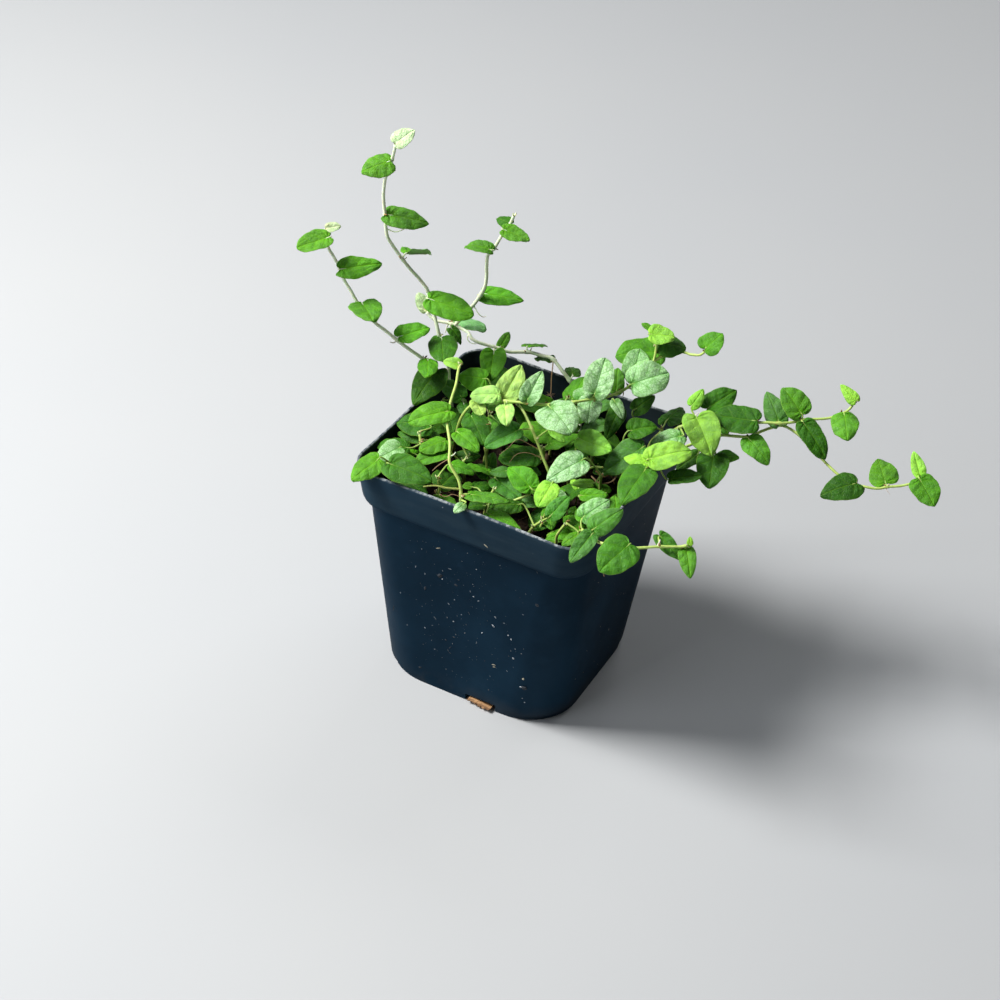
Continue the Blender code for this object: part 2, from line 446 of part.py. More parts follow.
class Plant:
    """The whole layout: stems, then the leaves read off the photo, then leaves that fill the gaps."""

    def __init__(self, pot_mesh, mix_mesh, mix_height):
        self.draw = random.Random(SEED)
        self.mix_height = mix_height
        self.pieces = [Piece("pot", "pot", pot_mesh), Piece("potting_mix", "mix", mix_mesh)]
        self.stems = {}
        self.leaves = {}
        self.stalks = {}
        self.missed = []

    def clear(self, mesh, node, own_kinds):
        """True if a mesh touches no placed piece: of its own node only the named kinds count."""
        tree = tree_of(mesh)
        low = Vector(min(v[i] for v in mesh[0]) for i in range(3))
        high = Vector(max(v[i] for v in mesh[0]) for i in range(3))
        middle, reach = (low + high) / 2, (high - low).length / 2
        for piece in self.pieces:
            if (piece.middle - middle).length > piece.reach + reach:
                continue
            if piece.node == node and piece.kind not in own_kinds:
                continue
            if tree.overlap(piece.tree):
                return False
        return True

    def add_stem(self, node, routes):
        self.stems[node] = []
        self.leaves[node] = []
        self.stalks[node] = []
        for number, route in enumerate(routes):
            curve = smooth_route(route)
            if number == 0:
                root = curve[0]
                ground = self.mix_height(root.x, root.y)
                curve[0] = Vector((root.x, root.y, ground + 0.8))
                bottom = Vector((root.x, root.y, ground - HOLE_DEPTH))
                rough = [bottom] + thinned(curve, STEM_WITHIN)
            else:
                rough = thinned(curve, STEM_WITHIN)
            self.stems[node].append((curve, rough))
            self.pieces.append(Piece(node, "stem", tube(rough, STEM_RADIUS, 5)))

    def stem_points(self, node):
        for curve, _ in self.stems[node]:
            for point in curve[3:]:
                yield point

    def stalk_from(self, node, leaf, starts):
        """A stalk route that touches nothing, from the nearest of the starts that has one."""
        bows = [Vector((0, 0, 0)), -Vector((0, 0, 1)), leaf.side, -leaf.side, Vector((0, 0, 1)), BACK]
        for start in starts:
            for bow in bows:
                route = stalk_route(start, leaf, bow)
                end = leaf.point(-0.02, 0)
                fat = tube(route[:-1] + [end], STALK_RADIUS + GAP, 3)
                if (end - start).length < 1.2 or self.clear(fat, node, ("blade",)):
                    return route
        return None

    def place(self, node, leaf, starts):
        """Adds a leaf and its stalk to a node where both are clear."""
        if not self.clear(blade_mesh(leaf, BLADE_THICK + 2 * GAP, GAP), node, ("blade", "stalk")):
            return False
        if not self.clear(blade_mesh(leaf, BLADE_THICK), node, ("stem",)):
            return False
        route = self.stalk_from(node, leaf, starts)
        if route is None:
            return False
        self.leaves[node].append(leaf)
        self.stalks[node].append(route)
        self.pieces.append(Piece(node, "blade", blade_mesh(leaf, BLADE_THICK)))
        self.pieces.append(Piece(node, "stalk", stalk_mesh(route)))
        return True

    def slides(self, farthest):
        """Steps along the sight line, nearest to none first and farther from the viewer before nearer."""
        steps = [0.0]
        step = 0.8
        while step <= farthest:
            steps += [-step, step]
            step += 0.8
        return steps

    def add_vine_leaf(self, node, entry):
        near = entry[5]
        places = list(self.stem_points(node))

        def seen_distance(point):
            ray = (point - EYE) / (point - EYE).dot(-BACK)
            spot = (sheet_point(entry[0], entry[1]) - EYE)
            spot = spot / spot.dot(-BACK)
            return (ray - spot).length * DISTANCE

        starts = sorted(places, key=seen_distance)
        nearest = starts[0]
        ray = (sheet_point(entry[0], entry[1]) - EYE).normalized()
        root = EYE + ray * (nearest - EYE).dot(ray) - ray * near
        leaf = leaf_on_sheet(entry, root, self.draw)
        home = leaf.root
        for slide in self.slides(9.0):
            leaf.root = home - ray * slide
            close = sorted(places, key=lambda p: (p - leaf.root).length)
            if self.place(node, leaf, close[0:13:4]):
                return
        self.missed.append((node, entry))

    def add_pot_leaf(self, entry):
        ray = (sheet_point(entry[0], entry[1]) - EYE).normalized()
        leaf = leaf_on_sheet(entry, on_sight_line(entry[0], entry[1], entry[5]), self.draw)
        home = leaf.root
        owners = [node for node in self.stems if node.startswith("sprig")] + ["vine_middle"]
        for slide in self.slides(12.0):
            leaf.root = home - ray * slide
            found = []
            for node in owners:
                for point in self.stem_points(node):
                    drop = leaf.root.z - point.z
                    away = (point - leaf.root).length
                    if drop > -4 and away < 22:
                        found.append((away, node, point))
            found.sort(key=lambda item: item[0])
            tried = []
            for away, node, point in found:
                if all((point - other).length > 3 for other in tried):
                    tried.append(point)
                    if self.place(node, leaf, [point]):
                        return
                if len(tried) > 7:
                    break
        self.missed.append(("pot", entry))

    def add_sprigs(self):
        """Short upright stems on a loose grid over the mix, each as high as the leaves above it allow."""
        roots = [self.stems[node][0][0][0] for node in self.stems]
        number = 0
        for row in range(5):
            for column in range(5):
                x = (column - 2) * 15.6 + self.draw.uniform(-3, 3)
                y = (row - 2) * 15.6 + self.draw.uniform(-3, 3)
                x, y = max(-33, min(33, x)), max(-33, min(33, y))
                for _ in range(30):
                    start = Vector((x, y, self.mix_height(x, y)))
                    top = Vector((x + self.draw.uniform(-4, 4), y + self.draw.uniform(-4, 4),
                                  self.draw.uniform(84, 93)))
                    middle = (start + top) / 2 + Vector((self.draw.uniform(-2, 2), self.draw.uniform(-2, 2), 1))
                    apart = min((Vector((x, y, 0)) - Vector((r.x, r.y, 0))).length for r in roots)
                    base = start + Vector((0, 0, 2.5))
                    curve = smooth_route([start, base, middle, top])
                    if apart > 4 and self.clear(tube(curve[3:], STEM_RADIUS + GAP, 5), "", ()):
                        number += 1
                        self.add_stem("sprig_%02d" % number, [[start, base, middle, top]])
                        roots.append(start)
                        break
                    x += self.draw.uniform(-2.5, 2.5)
                    y += self.draw.uniform(-2.5, 2.5)
                    x, y = max(-34, min(34, x)), max(-34, min(34, y))

    def covered(self, x, y):
        """True where a leaf lies over this spot of the mix."""
        ray, start = Vector((0, 0, -1)), Vector((x, y, 250))
        for piece in self.pieces:
            if piece.kind != "blade":
                continue
            if math.hypot(piece.middle.x - x, piece.middle.y - y) < piece.reach and piece.tree.ray_cast(start, ray)[0]:
                return True
        return False

    def first_blade(self, start, way):
        """True where a line from a place runs into a blade that is read off the photo."""
        return any(piece.kind == "blade" and piece.tree.ray_cast(start, way)[0] for piece in self.read_off)

    def hides_leaf(self, leaf):
        """True where a leaf would stand in front of one that is read off the photo."""
        for s, h in ((0.5, 0), (0.1, 0), (0.9, 0), (0.4, 0.8), (0.4, -0.8)):
            spot = leaf.point(s, h)
            if self.first_blade(spot, (spot - EYE).normalized()):
                return True
        return False

    def add_fill(self, wanted):
        """Seeded leaves on the short stems, over spots of the mix that no leaf covers yet."""
        self.read_off = list(self.pieces)
        sprigs = [node for node in self.stems if node.startswith("sprig")]
        bare = [node for node in sprigs if not self.leaves[node]] * 60
        placed = 0
        for attempt, node in enumerate(bare + sprigs * 100):
            if attempt < len(bare) and self.leaves[node]:
                continue
            points = list(self.stem_points(node))
            start = points[int(len(points) * self.draw.uniform(0.3, 1.0)) - 1]
            turn = self.draw.uniform(0, 2 * math.pi)
            out = Vector((math.cos(turn), math.sin(turn), 0))
            root = start + out * self.draw.uniform(1.5, 4) + Vector((0, 0, self.draw.uniform(0.5, 3.5)))
            axis = out + Vector((0, 0, self.draw.uniform(-0.35, 0.35)))
            length = self.draw.uniform(9, 14)
            face = Vector((self.draw.uniform(-0.3, 0.3), self.draw.uniform(-0.3, 0.3), 1))
            half = length * self.draw.uniform(0.35, 0.42)
            leaf = Leaf(root, axis, face, length, half, self.draw, self.draw.choice("gdgdb"))
            centre = leaf.point(0.5, 0)
            if max(abs(centre.x), abs(centre.y)) > 46 or root.z < self.mix_height(root.x, root.y) + 3:
                continue
            if min(leaf.point(s, h).z for s, h in ((0.5, 0.9), (0.5, -0.9), (1, 0))) < 79:
                continue
            if attempt >= len(bare) and self.covered(centre.x, centre.y):
                continue
            if self.hides_leaf(leaf):
                continue
            if self.place(node, leaf, [start]):
                placed += 1
            if placed >= wanted:
                break
        return placed


def ring(side, corner, height, steps=3, bow=0.0):
    """A square with rounded corners, anticlockwise from above, as points at one height."""
    points = []
    straight = side / 2 - corner
    for quarter in range(4):
        turn = quarter * math.pi / 2
        centre = Vector((straight * (1 if quarter in (0, 3) else -1), straight * (1 if quarter < 2 else -1), height))
        for k in range(steps + 1):
            angle = turn + k * math.pi / 2 / steps
            points.append(centre + Vector((math.cos(angle), math.sin(angle), 0)) * corner)
        angle = turn + math.pi / 2
        points.append(Vector((math.cos(angle), math.sin(angle), 0)) * (side / 2 - bow) + Vector((0, 0, height)))
    return points


def lofted(rings):
    """A closed solid through rings of the same count, each end filled."""
    count = len(rings[0])
    verts = [point for one in rings for point in one]
    faces = [tuple(range(count - 1, -1, -1))]
    for i in range(len(rings) - 1):
        for k in range(count):
            a, b = i * count + k, i * count + (k + 1) % count
            faces.append((a, b, b + count, a + count))
    faces.append(tuple((len(rings) - 1) * count + k for k in range(count)))
    return verts, faces


def pot_profile():
    """(side, corner radius, height, bow) of the pot: up the outside, over the lip and down the inside."""
    band_low = POT_HEIGHT - RIM_BAND
    inside = RIM_SIDE - 2 * WALL
    return [
        (BASE_SIDE - 0.3, FOOT_CORNER, 0.0, 0.0),
        (BASE_SIDE + 0.2, FOOT_CORNER + 0.5, STEP_HEIGHT, 0.0),
        (BASE_SIDE + 0.3, WALL_CORNER, STEP_HEIGHT, 0.0),
        (BODY_TOP_SIDE, 12.2, band_low, 0.0),
        (86.0, 11.0, band_low + 0.2, 0.0),
        (86.8, 10.8, band_low + 1.6, 0.0),
        (RIM_SIDE - 0.2, 10.2, POT_HEIGHT - 0.9, 0.6),
        (RIM_SIDE - 0.5, 10.0, POT_HEIGHT, 0.8),
        (inside - 0.1, 9.2, POT_HEIGHT, 0.8),
        (inside - 0.4, 9.2, POT_HEIGHT - 1.5, 0.6),
        (84.5, 9.8, band_low + 1.4, 0.0),
        (81.5, 11.2, band_low - 0.4, 0.0),
        (BASE_SIDE - 1.6, WALL_CORNER - 0.7, STEP_HEIGHT + 1.8, 0.0),
        (BASE_SIDE - 2.1, FOOT_CORNER - 0.5, STEP_HEIGHT + 1.0, 0.0),
        (BASE_SIDE - 2.5, FOOT_CORNER - 0.3, FLOOR_THICK, 0.0),
    ]


def pot_mesh():
    return lofted([ring(side, corner, height, bow=bow) for side, corner, height, bow in pot_profile()])


def mix_height(x, y):
    """The height of the mix: low swells and small lumps, falling a little to the walls."""
    swell = 0.7 * math.sin(x * 0.11 + 1.0) * math.cos(y * 0.09 - 0.6)
    lumps = 0.35 * math.sin(x * 0.31 + y * 0.17) * math.sin(y * 0.37 - x * 0.08 + 2.0)
    edge = max(0.0, max(abs(x), abs(y)) - 30) * 0.08
    return MIX_TOP + swell + lumps - edge


def mix_mesh():
    """The potting mix as one closed solid with an uneven top."""
    gap = 2 * MIX_GAP
    top = ring(81.0 - gap, 10.8, 75.0)
    rings = [
        ring(BASE_SIDE - 2.5 - gap, FOOT_CORNER - 0.4, FLOOR_THICK + MIX_GAP),
        ring(BASE_SIDE - 2.1 - gap, FOOT_CORNER - 0.6, STEP_HEIGHT + 1.1),
        ring(BASE_SIDE - 1.6 - gap, WALL_CORNER - 0.7, STEP_HEIGHT + 2.8),
        [Vector((p.x, p.y, mix_height(p.x, p.y) - 0.9)) for p in top],
    ]
    for share in (0.82, 0.62, 0.42, 0.22):
        rings.append([Vector((p.x * share, p.y * share, mix_height(p.x * share, p.y * share))) for p in top])
    verts, faces = lofted(rings)
    count = len(top)
    last = (len(rings) - 1) * count
    faces.pop()
    verts.append(Vector((0, 0, mix_height(0, 0))))
    faces += [(last + k, last + (k + 1) % count, len(verts) - 1) for k in range(count)]
    return verts, faces


def box(low, high):
    corners = [Vector((x, y, z)) for z in (low[2], high[2]) for x, y in
               ((low[0], low[1]), (high[0], low[1]), (high[0], high[1]), (low[0], high[1]))]
    faces = [(3, 2, 1, 0), (4, 5, 6, 7), (0, 1, 5, 4), (1, 2, 6, 5), (2, 3, 7, 6), (3, 0, 4, 7)]
    return corners, faces


def slot_mesh(quarter):
    """A drain slot, low at the foot of a wall and a little to the right of its middle: 0 is the front's, 2 the back's."""
    low = Vector((SLOT_OFFSET - SLOT_WIDTH / 2, -BASE_SIDE / 2 - SLOT_DEPTH, -1))
    high = Vector((SLOT_OFFSET + SLOT_WIDTH / 2, -BASE_SIDE / 2 + SLOT_DEPTH, SLOT_HEIGHT))
    verts, faces = box(low, high)
    turn = Matrix.Rotation(quarter * math.pi / 2, 3, "Z")
    return [turn @ vert for vert in verts], faces


def floor_hole_mesh(quarter, sides):
    """The round drain hole of the floor towards one corner."""
    angle = math.pi / 4 + quarter * math.pi / 2
    middle = Vector((math.cos(angle), math.sin(angle), 0)) * FLOOR_HOLE_OUT
    return tube([middle + Vector((0, 0, -1)), middle + Vector((0, 0, 3))], FLOOR_HOLE_RADIUS, sides)


def chip_mesh():
    half = Vector(CHIP_SIZE) / 2
    verts, faces = box(-half, half)
    turn = Matrix.Rotation(CHIP_TURN, 3, "Z")
    return [turn @ vert + Vector(CHIP_PLACE) for vert in verts], faces


def clear_scene():
    for obj in list(bpy.data.objects):
        bpy.data.objects.remove(obj, do_unlink=True)


def new_collection(name):
    collection = bpy.data.collections.new(name)
    bpy.context.scene.collection.children.link(collection)
    return collection


def material(name, colour, roughness, metallic=0.0):
    made = bpy.data.materials.new(name)
    made.use_nodes = True
    shader = made.node_tree.nodes["Principled BSDF"]
    shader.inputs["Base Color"].default_value = (*colour, 1.0)
    shader.inputs["Roughness"].default_value = roughness
    shader.inputs["Metallic"].default_value = metallic
    return made


def make_object(name, mesh, collection, finish=None):
    """A mesh object in metres from vertices and faces in millimetres."""
    data = bpy.data.meshes.new(name)
    data.from_pydata([tuple(v * 0.001) for v in mesh[0]], [], [tuple(f) for f in mesh[1]])
    work = bmesh.new()
    work.from_mesh(data)
    bmesh.ops.recalc_face_normals(work, faces=work.faces)
    work.to_mesh(data)
    work.free()
    obj = bpy.data.objects.new(name, data)
    collection.objects.link(obj)
    if finish is not None:
        data.materials.append(finish)
    return obj


def apply_boolean(obj, operation, others, solver="EXACT"):
    """One Boolean with a whole collection, applied; the collection's objects are then removed."""
    modifier = obj.modifiers.new(operation.lower(), "BOOLEAN")
    modifier.operation = operation
    modifier.operand_type = "COLLECTION"
    modifier.collection = others
    modifier.solver = solver
    graph = bpy.context.evaluated_depsgraph_get()
    done = bpy.data.meshes.new_from_object(obj.evaluated_get(graph))
    obj.modifiers.remove(modifier)
    old = obj.data
    obj.data = done
    bpy.data.meshes.remove(old)
    for other in list(others.objects):
        bpy.data.objects.remove(other, do_unlink=True)
    bpy.data.collections.remove(others)


def hidden_collection(name):
    collection = new_collection(name)
    collection.hide_render = True
    return collection


def drop_bubbles(obj):
    """Removes the small closed pockets that a union can leave where two blades cross."""
    work = bmesh.new()
    work.from_mesh(obj.data)
    shells, seen = [], set()
    for first in work.faces:
        if first in seen:
            continue
        shell, waiting = [], [first]
        seen.add(first)
        while waiting:
            face = waiting.pop()
            shell.append(face)
            for edge in face.edges:
                for other in edge.link_faces:
                    if other not in seen:
                        seen.add(other)
                        waiting.append(other)
        shells.append(shell)
    shells.sort(key=len)
    for shell in shells[:-1]:
        bmesh.ops.delete(work, geom=shell, context="FACES")
    work.to_mesh(obj.data)
    work.free()


def build_pot(collection):
    plastic = material("black_plastic", (0.012, 0.013, 0.016), 0.42)
    pot = make_object("pot", pot_mesh(), collection, plastic)
    cutters = hidden_collection("pot_cutters")
    for quarter in range(4):
        hole = make_object("hole_cutter_%d" % quarter, floor_hole_mesh(quarter, 10), cutters)
        hole.display_type = "WIRE"
    for quarter in SLOT_QUARTERS:
        slot = make_object("slot_cutter_%d" % quarter, slot_mesh(quarter), cutters)
        slot.display_type = "WIRE"
    apply_boolean(pot, "DIFFERENCE", cutters)
    return pot


def build_mix(collection, plant):
    earth = material("potting_mix", (0.030, 0.018, 0.010), 0.95)
    mix = make_object("potting_mix", mix_mesh(), collection, earth)
    chips = hidden_collection("mix_chip")
    make_object("chip", chip_mesh(), chips)
    apply_boolean(mix, "UNION", chips)
    cutters = hidden_collection("mix_cutters")
    for node, routes in plant.stems.items():
        root = routes[0][0][0]
        ground = mix_height(root.x, root.y)
        low = Vector((root.x, root.y, ground - HOLE_DEPTH - 0.4))
        high = Vector((root.x, root.y, ground + 3))
        cutter = make_object("hole_" + node, tube([low, high], HOLE_RADIUS, 5), cutters)
        cutter.display_type = "WIRE"
    apply_boolean(mix, "DIFFERENCE", cutters)
    return mix


def build_stem(node, plant, collection, finish):
    """One leafy stem: its stems, stalks and blades joined as one solid."""
    routes = plant.stems[node]
    obj = make_object(node, tube(routes[0][1], STEM_RADIUS, 5), collection, finish)
    others = hidden_collection("parts_of_" + node)
    for number, (_, rough) in enumerate(routes[1:]):
        make_object("%s_branch_%d" % (node, number), tube(rough, STEM_RADIUS, 5), others)
    for number, (leaf, route) in enumerate(zip(plant.leaves[node], plant.stalks[node])):
        make_object("%s_stalk_%d" % (node, number), stalk_mesh(route), others)
        make_object("%s_blade_%d" % (node, number), blade_mesh(leaf, BLADE_THICK), others)
    if others.objects:
        apply_boolean(obj, "UNION", others, "MANIFOLD")
        drop_bubbles(obj)
    else:
        bpy.data.collections.remove(others)
    return obj


def lay_out_plant():
    """Works out every stem, stalk and leaf."""
    plant = Plant(pot_mesh(), mix_mesh(), mix_height)
    for node, routes in ROUTES.items():
        plant.add_stem(node, [[on_sight_line(*place) for place in route] for route in routes])
    for node, entries in VINE_LEAVES.items():
        for entry in entries:
            plant.add_vine_leaf(node, entry)
    plant.add_sprigs()
    for entry in POT_LEAVES:
        plant.add_pot_leaf(entry)
    plant.filled = plant.add_fill(LEAF_FILL)
    return plant


def main():
    clear_scene()
    bpy.context.scene.unit_settings.scale_length = 1.0
    collection = new_collection("potted_creeping_fig")
    plant = lay_out_plant()
    build_pot(collection)
    build_mix(collection, plant)
    green = material("leaf_green", (0.10, 0.28, 0.03), 0.45)
    for node in plant.stems:
        build_stem(node, plant, collection, green)
    print("leaves", sum(len(found) for found in plant.leaves.values()), "filled", plant.filled)
    for node, entry in plant.missed:
        print("no room for", node, entry)


main()
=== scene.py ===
# The looks of the potted creeping fig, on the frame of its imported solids.
# Lengths are in millimetres up to the last step, where each mesh is made in metres.

import math
import random
from functools import cache

import bmesh
import bpy
import numpy as np
from mathutils import Euler, Matrix, Vector, noise
from mathutils.bvhtree import BVHTree


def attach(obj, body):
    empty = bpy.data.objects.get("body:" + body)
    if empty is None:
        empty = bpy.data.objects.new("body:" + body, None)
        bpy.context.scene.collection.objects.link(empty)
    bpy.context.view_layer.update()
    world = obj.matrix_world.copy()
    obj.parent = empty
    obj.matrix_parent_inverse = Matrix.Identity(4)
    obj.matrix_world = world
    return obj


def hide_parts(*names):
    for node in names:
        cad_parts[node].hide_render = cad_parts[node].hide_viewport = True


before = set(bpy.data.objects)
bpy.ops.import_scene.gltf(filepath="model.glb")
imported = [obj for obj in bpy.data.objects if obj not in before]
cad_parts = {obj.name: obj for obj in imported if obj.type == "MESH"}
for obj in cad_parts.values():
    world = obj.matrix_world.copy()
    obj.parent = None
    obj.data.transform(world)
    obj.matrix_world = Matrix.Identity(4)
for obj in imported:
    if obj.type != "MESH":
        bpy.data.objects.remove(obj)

# The pot
POT_HEIGHT = 90.0
RIM_SIDE = 90.0
RIM_BAND = 15.0
BAND_SIDE = 86.8
BAND_ROUND = 1.6
BODY_TOP_SIDE = 83.6
BASE_SIDE = 71.6
WALL = 1.1
FLOOR_THICK = 1.6
STEP_HEIGHT = 2.4
FOOT_CORNER = 19.5
WALL_CORNER = 17.5
SLOT_WIDTH = 12.0
SLOT_HEIGHT = 3.0
SLOT_DEPTH = 4.0
SLOT_OFFSET = 7.6
SLOT_QUARTERS = (0, 2)
FLOOR_HOLE_RADIUS = 4.5
FLOOR_HOLE_OUT = 27.0

# The potting mix
MIX_TOP = 75.6
MIX_SIDE = 81.0
MIX_CORNER = 10.8
MIX_GAP = 0.4
HOLE_DEPTH = 8.0

# The chip of bark in the front drain slot
CHIP_SIZE = (9.2, 5.0, 2.1)
CHIP_PLACE = (7.8, -35.2, 1.35)
CHIP_TURN = math.radians(-6)

# Stems and leaves
STEM_RADIUS = 0.65
STALK_RADIUS = 0.5
STALK_END_RADIUS = 0.3
BLADE_THICK = 0.68
GAP = 0.36
STEM_WITHIN = 0.4
LEAF_FILL = 44
SEED = 11

# How far leaves may slide along their sight lines until they are clear, and in what steps
SLIDE_STEP = 0.8
VINE_SLIDE = 9.0
POT_SLIDE = 12.0

# The loose grid of short stems, and the range of heights they end at
SPRIG_ROWS = 5
SPRIG_SPACING = 15.6
SPRIG_TOPS = (84, 93)
SPRIG_TRIES = 30

# The plant is laid out on a drawing sheet that stands in the middle of the rim and faces the viewer.
# A place on it is (across, up) in mm. A sight line through it, cut at a height, gives the point in space.
TURN = math.radians(25.18)
RISE = math.radians(37.24)
ROLL = math.radians(4.70)
LOOK_AT = Vector((-7.95, 0.0, 62.1))
DISTANCE = 828.5
SHEET = Vector((0.0, 0.0, 90.0))

BACK = Vector((math.sin(TURN) * math.cos(RISE), -math.cos(TURN) * math.cos(RISE), math.sin(RISE)))
LEVEL = Vector((math.cos(TURN), math.sin(TURN), 0.0))
ACROSS = LEVEL * math.cos(ROLL) + BACK.cross(LEVEL) * math.sin(ROLL)
UP = BACK.cross(LEVEL) * math.cos(ROLL) - LEVEL * math.sin(ROLL)
EYE = LOOK_AT + BACK * DISTANCE

# Long stems, read off the photo: (across, up, height) from the mix outwards.
ROUTES = {
    "vine_tall_back": [
        [(-25, 9.5, 75.6), (-25.8, 16, 81.5), (-26.3, 21.5, 88), (-26.6, 26, 93.8), (-27.8, 31, 100.7),
         (-29.6, 36.7, 109), (-31.4, 44.1, 116.5), (-33.2, 50.9, 124), (-34, 53, 126.5),
         (-36.6, 56.4, 130), (-39.3, 59.3, 134), (-41.9, 62.5, 138), (-44.5, 66.1, 142),
         (-47.2, 70.3, 147), (-47.9, 73.5, 150.5), (-48.2, 78.2, 156), (-48.6, 81.9, 160),
         (-48.7, 86.1, 165), (-47.9, 91.4, 171), (-45.8, 97.1, 177), (-44.8, 101.1, 182),
         (-44.5, 103, 184)],
    ],
    "vine_left": [
        [(-20, 10.5, 75.6), (-21, 14.1, 81), (-23, 17.5, 87), (-25.3, 20.7, 93), (-29.9, 24.3, 99),
         (-35.3, 28.9, 105), (-39.9, 32.1, 108.5), (-44, 35.2, 111.5), (-48.2, 38.6, 114),
         (-52.1, 41.7, 117), (-57.7, 48.3, 123), (-59.8, 52, 126.5), (-62.4, 56.2, 130),
         (-63.7, 59.8, 133.5), (-65.6, 63.5, 136.5), (-67.7, 67.2, 140), (-68.2, 71.9, 144),
         (-68.2, 73.6, 145.5)],
    ],
    "vine_back": [
        [(18.5, 5, 75.6), (18.8, 10.8, 81.3), (17.6, 17.4, 87.7), (15.4, 20.9, 91.5), (12.7, 24.5, 95.3),
         (9.4, 28.7, 99), (7.6, 29.5, 99.6), (5, 30.1, 100), (1.4, 31.1, 101), (-2.3, 31.2, 101.5),
         (-5.9, 31.3, 102), (-10, 32.7, 103), (-13.6, 33.7, 104), (-16.5, 34.6, 105), (-18.7, 36, 106),
         (-19.6, 37.7, 107), (-21.5, 38.9, 107.5), (-24.2, 40.4, 108.5), (-26.5, 41.1, 109),
         (-31, 42.1, 109.5), (-33.3, 44.1, 111), (-33.8, 45.6, 112.5)],
        [(-24.2, 40.4, 108.5), (-21.2, 44.1, 113), (-17.9, 47.4, 117), (-15.4, 50.9, 121),
         (-13.9, 53.9, 125), (-13.4, 57.4, 129), (-13.4, 60.5, 133), (-12.9, 64.5, 138),
         (-10.9, 66.7, 141), (-8.4, 70.8, 146), (-6.9, 72.8, 149), (-5.6, 74.5, 151), (-4.1, 77.8, 155)],
    ],
    "vine_across": [
        [(-24.8, -3, 75.6), (-24.3, 0, 82), (-23.6, 4, 90), (-22, 8.8, 97), (-18.7, 12.8, 102),
         (-12.9, 14.6, 105), (-5, 14.2, 106.5), (0, 13.7, 107), (5.7, 13.2, 107.3), (11, 13.2, 107.5),
         (16.1, 13.9, 107.5), (23.6, 15.2, 107), (27, 15.6, 107), (30, 16.6, 107), (34.7, 18.9, 107.5),
         (39, 22.5, 109), (43.6, 27.8, 113), (44.8, 34.3, 119), (44.6, 36.8, 121.5)],
        [(43.6, 27.8, 113), (46, 29.4, 114), (50, 30.9, 115), (53.9, 31.2, 116), (56.3, 30.4, 116.5),
         (59.7, 30.2, 117.5), (61.2, 31.2, 119), (62.3, 32.8, 120.5)],
    ],
    "vine_right_upper": [
        [(41.5, -11.4, 75.6), (43.5, -5, 83), (47, 1, 89.5), (50.5, 4.2, 94.5), (55, 6.3, 98),
         (64, 9, 101), (72, 8, 102), (79, 7.1, 102.3), (83, 7, 102.5), (87.8, 6.8, 102.8),
         (92.6, 7.3, 103), (94.5, 8, 103.5), (99.3, 8.2, 104), (104.1, 8.6, 104.5), (109.1, 10.4, 106),
         (111.3, 12.1, 107.5), (113, 14.4, 109.5)],
    ],
    "vine_right_lower": [
        [(37.6, -16.7, 75.6), (39.8, -12, 83.5), (42.6, -8.6, 90.3), (45, -6.6, 94), (47.5, -5, 95.2),
         (55, -1.2, 96), (61, 1.2, 97), (66.5, 2.7, 97.5), (71, 2.4, 97.7), (77, 2.2, 98),
         (80, 3.7, 98.6), (84.6, 5.4, 99), (87.8, 6, 99), (90.2, 5.1, 98.8), (92.6, 3.5, 98.2),
         (94.5, 2, 97.5), (98, -1.5, 95.5), (103, -7, 93), (108, -11.5, 91), (113.7, -14.3, 90),
         (116.5, -15, 90), (120.6, -15.6, 90), (123.7, -15, 90.7), (127.1, -14.8, 91.3), (130, -14.4, 92),
         (133, -13.4, 93.2), (135, -11.6, 95)],
    ],
    "vine_front_right": [
        [(15.9, -37.6, 75.6), (17.5, -33, 83), (18.9, -29.9, 89.5), (20.1, -30.4, 91.5),
         (22.2, -31.8, 92.5), (24.6, -33.8, 93), (30, -35.2, 94), (36.2, -35.9, 94.7),
         (40.9, -35.8, 95.2), (45.1, -35.5, 95.6), (52.9, -35.5, 96), (55.2, -35.2, 96.5)],
    ],
    "vine_over_left": [
        [(-20.9, -29.4, 75.6), (-21.6, -24.5, 83), (-22.1, -20.4, 89.5), (-22.3, -15.8, 94),
         (-23.2, -12.2, 97), (-25.1, -9, 99.5), (-26.2, -6.3, 101.5), (-26.1, -3.5, 103), (-26, 0.1, 105),
         (-26.6, 4.2, 107), (-27.1, 8.4, 109), (-26.4, 11.8, 110.5), (-25.3, 15.7, 112),
         (-23.9, 20.2, 113.5), (-23.2, 24.6, 114.5), (-22.6, 26.8, 115)],
    ],
    "vine_middle": [
        [(9, -17, 75.6), (8.5, -12, 82.5), (7.9, -9.9, 86), (5.7, -4.4, 91), (3.5, 1.5, 96),
         (1.7, 5.7, 99.5), (-0.5, 10.3, 101.5), (-2.4, 13, 102.6)],
    ],
}

